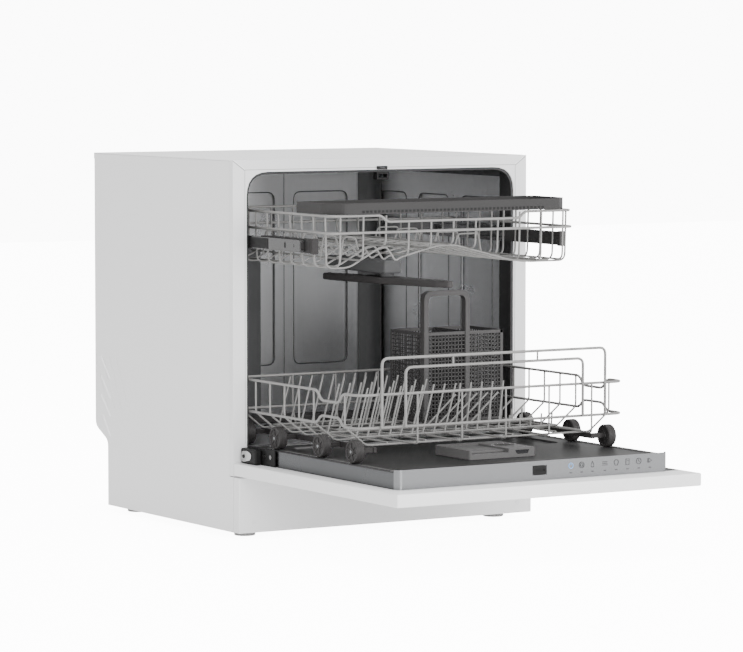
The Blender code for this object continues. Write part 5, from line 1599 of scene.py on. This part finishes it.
@dataclass
class FrameTrim:
    """Joints and striker cap of the front, side ridges, rear screws and vents, foot knurls and plugs."""

    half: float = 0.2750
    top: float = 0.5950
    step_half: float = 0.2535
    step_top: float = 0.5795
    step_low: float = 0.1500
    line_t: float = 0.0003
    joint_in: float = 0.0004
    joint_w: float = 0.0011
    joint_shift: float = 0.0008
    step_w: float = 0.0006
    step_top_w: float = 0.0008
    striker: tuple[float, float, float, float, float] = (-0.0120, 0.0080, 0.5764, 0.5816, 0.0018)
    striker_t: float = 0.0016
    striker_edge: float = 0.0004
    glint: Point = (-0.0020, -0.0018, 0.5790)
    glint_size: Point = (0.0100, 0.0006, 0.0010)
    marks: tuple[tuple[float, float, float, float], ...] = (
        (0.4480, 0.2570, 0.4160, 0.2210), (0.4470, 0.2250, 0.4150, 0.1890),
        (0.4470, 0.1930, 0.4150, 0.1590), (0.4420, 0.1600, 0.4150, 0.1260))
    mark_out: float = 0.0002
    mark_sink: float = 0.0010
    mark_run: Pair = (0.002, 0.0024)
    mark_bend: float = 0.002
    mark_steps: int = 3
    mark_r: float = 0.0016
    screw_y: float = 0.4691
    screw_x: float = 0.262
    screw_zs: tuple[float, ...] = (0.160, 0.270, 0.380, 0.490, 0.572)
    low_screw_xs: tuple[float, ...] = (-0.150, 0.0, 0.150)
    low_screw_z: float = 0.150
    screw_size: Point = (0.0080, 0.0080, 0.0014)
    slot_back: float = 0.0007
    slot_size: Point = (0.0046, 0.0003, 0.0010)
    vent: Point = (0.220, 0.4693, 0.200)
    vent_pitch: float = 0.008
    vents: int = 9
    vent_size: Point = (0.0340, 0.0012, 0.0030)
    foot_x: float = 0.2350
    foot_ys: Pair = (0.0350, 0.3950)
    knurl_at: float = 0.0160
    knurl_z: float = 0.0032
    knurls: int = 18
    knurl_size: Point = (0.0024, 0.0024, 0.0050)
    plug: Point = (0.2480, -0.0181, 0.0270)
    plug_size: Point = (0.0075, 0.0075, 0.0008)

    def build(self, shop: Workshop) -> None:
        """Make the joints, striker cap, ridges, screws, vents, knurls and plugs.

        Args:
            shop: The workshop.
        """
        self._joints(shop)
        self._striker(shop)
        self._side_marks(shop)
        self._rear(shop)
        self._feet(shop)

    def _line(self, shop: Workshop, start: Pair, end: Pair, width: float, shift: float,
              look: str) -> bpy.types.Mesh:
        """Make a thin raised line on the front frame's face.

        Args:
            shop: The workshop.
            start: The x and z of one end.
            end: The x and z of the other end.
            width: The line's width.
            shift: How far it lies to the side of the two ends.
            look: The finish's name.

        Returns:
            The mesh.
        """
        a, b = Vector(start), Vector(end)
        run = (b - a).normalized()
        side = Vector((-run.y, run.x))
        far, near = side * (shift + width / 2), side * (shift - width / 2)
        points = [a + far, b + far, b + near, a + near]
        return shop.plate(flat(points), self.line_t, look, "Y", (0.0, -self.line_t, 0.0))

    def _joints(self, shop: Workshop) -> None:
        """Make the mitred joints, each a dark line of painted shadow beside a light line of painted
        highlight, and the dark seam line of the step round the opening.

        Args:
            shop: The workshop.
        """
        dark, light = [], []
        for side in (-1, 1):
            outer = (side * (self.half - self.joint_in), self.top - self.joint_in)
            inner, foot = (side * self.step_half, self.step_top), (side * self.step_half, self.step_low)
            shift = side * self.joint_shift
            # On each mitre a dark line of painted shadow lies beside a light line of painted highlight.
            dark.append(self._line(shop, outer, inner, self.joint_w, shift, "seam"))
            light.append(self._line(shop, outer, inner, self.joint_w, -shift, "highlight_white"))
            dark.append(self._line(shop, inner, foot, self.step_w, 0.0, "seam"))
        left, right = (-self.step_half, self.step_top), (self.step_half, self.step_top)
        dark.append(self._line(shop, left, right, self.step_top_w, 0.0, "seam"))
        shop.place("frame_seam_and_shadow_lines", shop.merged(dark), "cabinet", Coat.WHITE)
        shop.place("frame_corner_highlights", shop.merged(light), "cabinet", Coat.WHITE)

    def _striker(self, shop: Workshop) -> None:
        """Make the striker's cap with a glossy line across it.

        Args:
            shop: The workshop.
        """
        hook = [shop.plate(rect(*self.striker), self.striker_t, "black", "Y", (0.0, -self.striker_t, 0.0),
                           self.striker_edge),
                shop.repeat("BLOCK", [self.glint], self.glint_size, "gloss")]
        shop.place("striker_cap", shop.merged(hook), "cabinet", Coat.DARK)

    def _side_marks(self, shop: Workshop) -> None:
        """Make the short slanted ridges at the rear of both side panels, in a brighter white that paints
        their highlight.

        Args:
            shop: The workshop.
        """
        paths = []
        run, rise = self.mark_run
        for side in (-1, 1):
            x = side * (self.half + self.mark_out)
            sunk = x - side * self.mark_sink
            for a, b, c, d in self.marks:
                line = [(sunk, a, b), (x, a - run, b - rise), (x, c + run, d + rise), (sunk, c, d)]
                paths.append((rounded(line, self.mark_bend, self.mark_steps), False))
        shop.place("side_ridges", shop.wires(paths, self.mark_r, "highlight_white", THIN_SIDES), "cabinet", Coat.WHITE)

    def _rear(self, shop: Workshop) -> None:
        """Make the screws and vents of the rear panel.

        Args:
            shop: The workshop.
        """
        screws = [(x, self.screw_y, z) for x in (-self.screw_x, self.screw_x) for z in self.screw_zs]
        screws += [(x, self.screw_y, self.low_screw_z) for x in self.low_screw_xs]
        heads = shop.repeat("PIN", screws, self.screw_size, "chrome", ALONG_Y)
        shop.place("rear_screw_heads", heads, "cabinet", Coat.CHROME)
        spots = [(x, y + self.slot_back, z) for x, y, z in screws]
        level = shop.repeat("BLOCK", spots, self.slot_size, "black")
        upright = shop.repeat("BLOCK", spots, self.slot_size[::-1], "black")
        shop.place("rear_screw_slots", shop.merged([level, upright]), "cabinet", Coat.DARK)
        right, y, low = self.vent
        spots = [(x, y, low + self.vent_pitch * k) for x in (-right, right) for k in range(self.vents)]
        shop.place("rear_vents", shop.repeat("BLOCK", spots, self.vent_size, "black"), "cabinet", Coat.DARK)

    def _feet(self, shop: Workshop) -> None:
        """Make the knurls round the feet and the plugs of the plinth.

        Args:
            shop: The workshop.
        """
        knurls = []
        for side in (-1, 1):
            for y in self.foot_ys:
                for k in range(self.knurls):
                    angle = math.tau * k / self.knurls
                    knurls.append((side * self.foot_x + self.knurl_at * math.cos(angle),
                                   y + self.knurl_at * math.sin(angle), self.knurl_z))
        shop.place("foot_knurls", shop.repeat("PIN", knurls, self.knurl_size, "foot"), "cabinet", Coat.DARK)
        right, y, z = self.plug
        plugs = shop.repeat("PIN", [(x, y, z) for x in (-right, right)], self.plug_size, "frame", ALONG_Y)
        shop.place("plinth_plugs", plugs, "cabinet", Coat.WHITE)


@dataclass
class Ports:
    """Threads on the hose ports at the back."""

    xs: tuple[float, ...] = (0.1400, 0.2000)
    z: float = 0.0600
    start: float = 0.4320
    radius: float = 0.0101
    pitch: float = 0.0024
    turns: int = 6
    steps: int = 16
    wire_r: float = 0.0007

    def build(self, shop: Workshop) -> None:
        """Make each thread as a wound wire.

        Args:
            shop: The workshop.
        """
        paths = []
        for x in self.xs:
            line = []
            for k in range(self.steps * self.turns + 1):
                angle = math.tau * k / self.steps
                line.append(Vector((x + self.radius * math.cos(angle),
                                    self.start + self.pitch * k / self.steps,
                                    self.z + self.radius * math.sin(angle))))
            paths.append((line, False))
        shop.place("port_threads", shop.wires(paths, self.wire_r, "dark", LINE_SIDES), "cabinet", Coat.DARK)


@dataclass
class Hinges:
    """Pins, link plates and bosses of the door's hinges."""

    pin_x: float = 0.2498
    pin_ys: Pair = (-0.0560, -0.0740)
    pin_z: float = 0.1345
    pin_size: Point = (0.0070, 0.0070, 0.0024)
    link_xs: Pair = (0.2622, 0.2634)
    link: tuple[Point, ...] = (
        (-0.0040, 0.1240, 0.0), (-0.0120, 0.1225, 0.0), (-0.0330, 0.1270, 0.0), (-0.0360, 0.1360, 0.0),
        (-0.0250, 0.1405, 0.0), (-0.0060, 0.1395, 0.0))
    link_bend: float = 0.005
    link_edge: float = 0.0003
    boss: Point = (0.2636, -0.0120, 0.1315)
    boss_size: Point = (0.0060, 0.0060, 0.0014)

    def build(self, shop: Workshop) -> None:
        """Make the pins, links and bosses of both hinges.

        Args:
            shop: The workshop.
        """
        outline = flat(rounded(self.link, self.link_bend, SHORT_STEPS, True))
        for side, word in SIDES:
            spots = [(side * self.pin_x, y, self.pin_z) for y in self.pin_ys]
            pins = shop.repeat("PIN", spots, self.pin_size, "rail", ALONG_X)
            shop.place("hinge_pins_" + word, pins, "cabinet", Coat.CHROME)
            low, high = sorted(side * x for x in self.link_xs)
            link = shop.plate(outline, high - low, "chrome", "X", (low, 0.0, 0.0), self.link_edge)
            x, y, z = self.boss
            boss = shop.repeat("PIN", [(side * x, y, z)], self.boss_size, "black", ALONG_X)
            shop.place("hinge_link_" + word, shop.merged([link, boss]), "cabinet", Coat.CHROME)


@dataclass
class DoorTrim:
    """Control strip, printed marks, side edges, dispenser details and screws of the door."""

    face: float = -0.4408
    marks: tuple[float, ...] = (0.0, 0.020, 0.040, 0.063, 0.084, 0.105, 0.126, 0.147)
    first_x: float = 0.0640
    icon_z: float = 0.1385
    size: float = 0.0050
    line: float = 0.00055
    line_out_share: float = 0.4
    line_sides: int = 6
    dash_drop: float = 0.0108
    dash_out: float = 0.0001
    dash_size: Point = (0.0050, 0.0018, 0.0003)
    strip_low: float = 0.1198
    strip_high: float = 0.1490
    strip_half: float = 0.2460
    strip_r: float = 0.0100
    strip_t: float = 0.0016
    strip_steps: int = 10
    hole: tuple[float, float, float, float] = (-0.0060, 0.0200, 0.1275, 0.1425)
    hole_rim: float = 0.002
    hole_back_t: float = 0.0012
    side_near: float = 0.2433
    side_back: float = -0.0100
    # Under each steel side lies a dark strip of painted shadow line; a black strip lies on top.
    low_shadow_line_t: float = 0.0014
    side_t: float = 0.0230
    top_strip_t: float = 0.0012
    top_strip_edge: float = 0.0004
    # A black strip on the right margin of the door only.
    seal: tuple[float, float, float, float, float] = (0.2480, 0.2690, -0.4360, -0.0900, 0.003)
    margin_strip_z: float = 0.1194
    margin_strip_t: float = 0.0008
    margin_strip_edge: float = 0.0002
    glass_y: float = -0.3496
    glass_z: float = 0.1503
    glass_t: float = 0.0008
    glass: tuple[Pair, ...] = ((0.0232, 0.0058), (0.0262, 0.0003), (0.0458, 0.0003), (0.0488, 0.0058))
    grip: Point = (-0.0225, -0.3340, 0.1567)
    grips: int = 3
    grip_pitch: float = 0.0040
    grip_size: Point = (0.0500, 0.0012, 0.0008)
    cap: Pair = (0.0360, -0.3000)
    dots_at: float = 0.0195
    dots_z: float = 0.1593
    dot_gaps: int = 6
    dot_size: Point = (0.0016, 0.0016, 0.0004)
    rim_half: float = 0.0590
    rim_ys: Pair = (-0.3490, -0.2510)
    rim_z: float = 0.1594
    rim_bend: float = 0.004
    rim_steps: int = 4
    rim_r: float = 0.0005
    bead_half: float = 0.2330
    bead_ys: Pair = (-0.4300, -0.0180)
    bead_z: float = 0.1450
    bead_bend: float = 0.020
    bead_r: float = 0.0009
    screw_x: float = 0.2390
    screw_ys: tuple[float, ...] = (-0.4100, -0.2900, -0.1700, -0.0600)
    screw_z: float = 0.1452
    screw_size: Point = (0.0060, 0.0060, 0.0008)
    slot_up: float = 0.0004
    slot_length: float = 0.0036
    slot_w: float = 0.0008
    slot_t: float = 0.0003

    def build(self, shop: Workshop) -> None:
        """Print the icons, and finish the dispenser, the liner, the strip and the sides.

        Args:
            shop: The workshop.
        """
        self._icons(shop)
        self._dispenser(shop)
        self._liner(shop)
        self._strip(shop)
        self._sides(shop)

    @staticmethod
    def _figures() -> list[list[list[Pair]]]:
        """Return the plain line figures of the generic icons.

        Returns:
            Each icon's open lines of pairs, in units of the icon's half size.
        """
        return [
            [arc((0, 0), 0.8, 120, 420), [(0, 0.2), (0, 1.1)]],
            [arc((0, 0), 0.9, 0, 360), arc((0, 0), 0.45, 0, 360)],
            [[(-0.5, -0.2), (0, 1.0), (0.5, -0.2)], arc((0, -0.3), 0.55, 190, 350)],
            [[(-0.9, 0.5), (0.9, 0.5)], [(-0.9, 0.0), (0.9, 0.0)], [(-0.9, -0.5), (0.9, -0.5)]],
            [arc((0, 0.1), 0.8, 0, 180), [(-0.8, 0.1), (-0.4, -0.8), (0.4, -0.8), (0.8, 0.1)]],
            [[(-0.6, -0.9), (-0.6, 0.9), (0.6, 0.9), (0.6, -0.9), (-0.6, -0.9)], [(-0.2, 0.4), (0.2, 0.4)]],
            [arc((0, 0), 0.9, 0, 360), [(0, 0.55), (0, 0), (0.4, -0.25)]],
            [[(-0.4, -0.7), (-0.4, 0.7), (0.7, 0.0), (-0.4, -0.7)], [(-0.8, -0.7), (-0.8, 0.7)]],
        ]

    def _icons(self, shop: Workshop) -> None:
        """Print the icons, the first of them lit, with a dash under each.

        Args:
            shop: The workshop.
        """
        icons, dashes = [], []
        y = self.face - self.line * self.line_out_share
        for step, figures in zip(self.marks, self._figures()):
            x = self.first_x + step
            lines = [[Vector((x + u * self.size, y, self.icon_z + v * self.size)) for u, v in figure]
                     for figure in figures]
            icons.append([(line, False) for line in lines])
            dashes.append((x, self.face - self.dash_out, self.icon_z - self.dash_drop))
        plain = [path for icon in icons[1:] for path in icon]
        lit = shop.wires(icons[0], self.line, "blue", self.line_sides)
        shop.place("touch_icon_lit", lit, "cabinet", Coat.DARK)
        made = shop.wires(plain, self.line, "gloss", self.line_sides)
        shop.place("touch_icons", made, "cabinet", Coat.DARK)
        made = shop.repeat("PIN", dashes, self.dash_size, "gloss", ALONG_Y)
        shop.place("touch_dots", made, "cabinet", Coat.DARK)

    def _dispenser(self, shop: Workshop) -> None:
        """Make the level window, the grip lines, the marks round the cap and the rear bead.

        Args:
            shop: The workshop.
        """
        window = [(x, self.glass_z + z) for x, z in self.glass]
        glass = shop.plate(window, self.glass_t, "gloss", "Y", (0.0, self.glass_y, 0.0))
        shop.place("level_glass", glass, "cabinet", Coat.GREY)
        x, y, z = self.grip
        lines = [(x, y + self.grip_pitch * k, z) for k in range(self.grips)]
        shop.place("lid_grip_lines", shop.repeat("BLOCK", lines, self.grip_size, "slate"), "lid", Coat.GREY)
        dots = [(x, y, self.dots_z) for x, y in arc(self.cap, self.dots_at, 0.0, 180.0, self.dot_gaps)]
        shop.place("cap_marks", shop.repeat("PIN", dots, self.dot_size, "print"), "cabinet", Coat.GREY)
        rim = self._loop(self.rim_half, self.rim_ys, self.rim_z, self.rim_bend, self.rim_steps)
        rear = rim[2 * (self.rim_steps + 1):]
        bead = shop.wires([(rear, False)], self.rim_r, "slate", LINE_SIDES)
        shop.place("dispenser_bead", bead, "cabinet", Coat.GREY)

    @staticmethod
    def _loop(half: float, ys: Pair, z: float, bend: float, steps: int) -> list[Vector]:
        """Return a level rectangle with rounded corners, from its front left corner.

        Args:
            half: Half its width.
            ys: Where its front and back lie.
            z: Its height.
            bend: How far the rounding starts from each corner.
            steps: The number of segments at each corner.

        Returns:
            The loop's points.
        """
        front, back = ys
        points = [(-half, front, z), (half, front, z), (half, back, z), (-half, back, z)]
        return rounded(points, bend, steps, True)

    def _liner(self, shop: Workshop) -> None:
        """Make the liner's folded bead and the screws along the door's sides.

        Args:
            shop: The workshop.
        """
        bead = self._loop(self.bead_half, self.bead_ys, self.bead_z, self.bead_bend, BEND_STEPS)
        made = shop.wires([(bead, True)], self.bead_r, "liner", LINE_SIDES)
        shop.place("liner_bead", made, "cabinet", Coat.STEEL)
        screws = [(side * self.screw_x, y, self.screw_z) for side in (-1, 1) for y in self.screw_ys]
        heads = shop.repeat("PIN", screws, self.screw_size, "chrome")
        shop.place("liner_screw_heads", heads, "cabinet", Coat.CHROME)
        spots = [(x, y, z + self.slot_up) for x, y, z in screws]
        slots = [shop.repeat("BLOCK", spots, (self.slot_length, self.slot_w, self.slot_t), "black"),
                 shop.repeat("BLOCK", spots, (self.slot_w, self.slot_length, self.slot_t), "black")]
        shop.place("liner_screw_slots", shop.merged(slots), "cabinet", Coat.DARK)

    def _strip(self, shop: Workshop) -> None:
        """Make the control strip, with rounded ends and a hole for the catch.

        Args:
            shop: The workshop.
        """
        low, high, r, thick = self.strip_low, self.strip_high, self.strip_r, self.strip_t
        quarter = arc((0.0, 0.0), 1.0, 180.0, 270.0, self.strip_steps)
        parts = []
        for side in (-1, 1):
            x, y = side * (self.strip_half - r), self.face + r
            outer = [(x - side * c * r, y + n * r) for c, n in quarter]
            inner = [(x - side * c * (r - thick), y + n * (r - thick)) for c, n in reversed(quarter)]
            parts.append(shop.plate(outer + inner, high - low, "strip", "Z", (0.0, 0.0, low)))
        left, right, down, up = self.hole
        panels = (rect(r - self.strip_half, left, low, high), rect(right, self.strip_half - r, low, high),
                  rect(left, right, low, down), rect(left, right, up, high))
        parts += [shop.plate(panel, thick, "strip", "Y", (0.0, self.face, 0.0)) for panel in panels]
        more = self.hole_rim
        form = rect(left - more, right + more, down - more, up + more)
        parts.append(shop.plate(form, self.hole_back_t, "strip", "Y", (0.0, self.face + thick, 0.0)))
        shop.place("control_strip_face", shop.merged(parts), "cabinet", Coat.STEEL, ["control_strip"])

    def _sides(self, shop: Workshop) -> None:
        """Make the steel sides with a black strip on top and, below, a dark strip that paints the shadow
        line, and a black strip on the door's right margin.

        Args:
            shop: The workshop.
        """
        low = self.strip_low
        steel, seam = low + self.low_shadow_line_t, low + self.low_shadow_line_t + self.side_t
        for side, word in SIDES:
            near, far = sorted((side * self.side_near, side * self.strip_half))
            form = rect(near, far, self.face + self.strip_r, self.side_back)
            # The lower dark strip is painted shadow.
            edge = [shop.plate(form, self.low_shadow_line_t, "rubber", "Z", (0.0, 0.0, low)),
                    shop.plate(form, self.side_t, "side", "Z", (0.0, 0.0, steel)),
                    shop.plate(form, self.top_strip_t, "rubber", "Z", (0.0, 0.0, seam), self.top_strip_edge)]
            shop.place("door_side_" + word, shop.merged(edge), "cabinet", Coat.RUBBER, ["liner_edge_" + word])
        # A black strip on the door's right margin only.
        at = (0.0, 0.0, self.margin_strip_z)
        seal = shop.plate(rect(*self.seal), self.margin_strip_t, "rubber", "Z", at, self.margin_strip_edge)
        shop.place("door_right_margin_strip", seal, "cabinet", Coat.RUBBER)


@dataclass
class Studio:
    """Floor, light and the camera at the photograph's angle."""

    eye: Point = (-3.2348, -5.2576 + FRONT, 0.7906)
    right: Point = (0.85325, -0.52150, 0.00042)
    up: Point = (0.03885, 0.06438, 0.99717)
    lens: float = 187.2
    sensor: float = 36.0
    far: float = 50.0
    floor_half: float = 8.0
    floor_grey: float = 0.94
    floor_rough: float = 0.8
    floor_glow: float = 0.30
    sky: float = 1.15
    seen: float = 11.0
    lamps: tuple[tuple[Point, Point, float, float], ...] = (
        ((-2.6, -2.2, 2.8), (0.0, -0.1, 0.3), 2.4, 58.0),
        ((2.7, -2.9, 1.5), (0.0, -0.1, 0.3), 2.2, 100.0),
        ((-0.4, -3.6, 0.9), (0.0, 0.3, 0.35), 1.8, 80.0),
        ((0.3, 0.6, 3.6), (0.0, 0.1, 0.3), 2.6, 115.0),
    )

    def build(self, shop: Workshop) -> None:
        """Set up the stage. The workshop is given to every part, and isn't needed here.

        Args:
            shop: The workshop; not used.
        """
        self._floor()
        self._sky()
        self._lamps()
        self._camera()

    def _floor(self) -> None:
        """Lay a light floor that glows a little, and more where the camera sees it."""
        material = bpy.data.materials.new("look_floor")
        material.use_nodes = True
        tree = material.node_tree
        shader = tree.nodes["Principled BSDF"]
        grey = self.floor_grey
        shader.inputs["Base Color"].default_value = (grey, grey, grey, 1.0)
        shader.inputs["Roughness"].default_value = self.floor_rough
        shader.inputs["Emission Color"].default_value = (1.0, 1.0, 1.0, 1.0)
        path = tree.nodes.new("ShaderNodeLightPath")
        glow = math_node(tree, "MULTIPLY", path.outputs["Is Camera Ray"], self.seen)
        tree.links.new(math_node(tree, "ADD", glow, self.floor_glow), shader.inputs["Emission Strength"])
        h = self.floor_half
        mesh = bpy.data.meshes.new("floor")
        mesh.from_pydata([(-h, -h, 0), (h, -h, 0), (h, h, 0), (-h, h, 0)], [], [(0, 1, 2, 3)])
        mesh.materials.append(material)
        floor = bpy.data.objects.new("floor", mesh)
        bpy.context.scene.collection.objects.link(floor)

    def _sky(self) -> None:
        """Light the scene with a white sky that is brighter where the camera sees it."""
        world = bpy.data.worlds.new("studio")
        world.use_nodes = True
        tree = world.node_tree
        shader = tree.nodes["Background"]
        shader.inputs["Color"].default_value = (1.0, 1.0, 1.0, 1.0)
        path = tree.nodes.new("ShaderNodeLightPath")
        more = math_node(tree, "MULTIPLY", path.outputs["Is Camera Ray"], self.seen - self.sky)
        tree.links.new(math_node(tree, "ADD", more, self.sky), shader.inputs["Strength"])
        bpy.context.scene.world = world

    def _lamps(self) -> None:
        """Hang the square lamps, each turned to the point that it lights."""
        for i, (place, aim, size, power) in enumerate(self.lamps):
            data = bpy.data.lights.new("lamp_%d" % i, "AREA")
            data.size = size
            data.energy = power
            lamp = bpy.data.objects.new("lamp_%d" % i, data)
            lamp.location = place
            lamp.rotation_euler = (Vector(aim) - Vector(place)).to_track_quat("-Z", "Y").to_euler()
            bpy.context.scene.collection.objects.link(lamp)

    def _camera(self) -> None:
        """Place the camera as it was solved from the photograph."""
        data = bpy.data.cameras.new("camera")
        data.sensor_width = self.sensor
        data.lens = self.lens
        data.clip_end = self.far
        camera = bpy.data.objects.new("camera", data)
        right, up = Vector(self.right).normalized(), Vector(self.up).normalized()
        turn = Matrix((right, up, right.cross(up))).transposed().to_4x4()
        camera.matrix_world = Matrix.Translation(self.eye) @ turn
        bpy.context.scene.collection.objects.link(camera)
        bpy.context.scene.camera = camera


@dataclass
class Cabinet:
    """Carried-over CAD nodes and their finishes."""

    looks: dict[str, tuple[str, ...]] = field(default_factory=lambda: {
        "white": ("side_panel_left", "side_panel_right", "top_panel", "rear_panel", "plinth_panel",
                  "door_outer_panel"),
        "frame": ("front_frame",),
        "tub": ("tub", "filter_plate"),
        "duct": ("rear_feed_duct", "upper_feed_duct"),
        # The arm finish is the slate plastic with painted shade.
        "arm": ("lower_spray_arm", "upper_spray_arm", "filter_cup"),
        "liner": ("door_liner",),
        "rail": ("fixed_rail_left", "fixed_rail_right", "sliding_rail_left", "sliding_rail_right"),
        "dark": ("circulation_pump", "drain_pump", "hose_ports", "rinse_cap", "base_pan", "sump",
                 "wheel_carrier_left", "wheel_carrier_right"),
        "black": ("hinge_arm_left", "hinge_arm_right", "hinge_cover_left", "hinge_cover_right",
                  "latch_striker", "door_catch"),
        "shelf": ("cutlery_shelf", "rack_bracket_left", "rack_bracket_right"),
        "slate": ("dispenser_body", "dispenser_lid"),
        "foot": ("foot_front_left", "foot_front_right", "foot_rear_left", "foot_rear_right"),
        "rubber": ("door_gasket",),
    })

    def build(self, shop: Workshop, nodes: dict[str, bpy.types.Object]) -> None:
        """Dress the carried-over nodes.

        Args:
            shop: The workshop.
            nodes: The CAD nodes.
        """
        for look, names in self.looks.items():
            shop.wardrobe.dress(nodes, names, look)


def main() -> None:
    """Build the dressed dishwasher in order."""
    logging.basicConfig(level=logging.INFO, format="%(message)s")
    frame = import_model()
    shop = Workshop(Wardrobe())
    Cabinet().build(shop, frame["nodes"])
    parts = (UpperRack(), LowerRack(), Wheels(), Basket(), Shelf(), Rails(), SprayArms(), TubTrim(),
             FrameTrim(), Ports(), Hinges(), DoorTrim(), Studio())
    for part in parts:
        part.build(shop)


if __name__ == "__main__":
    main()
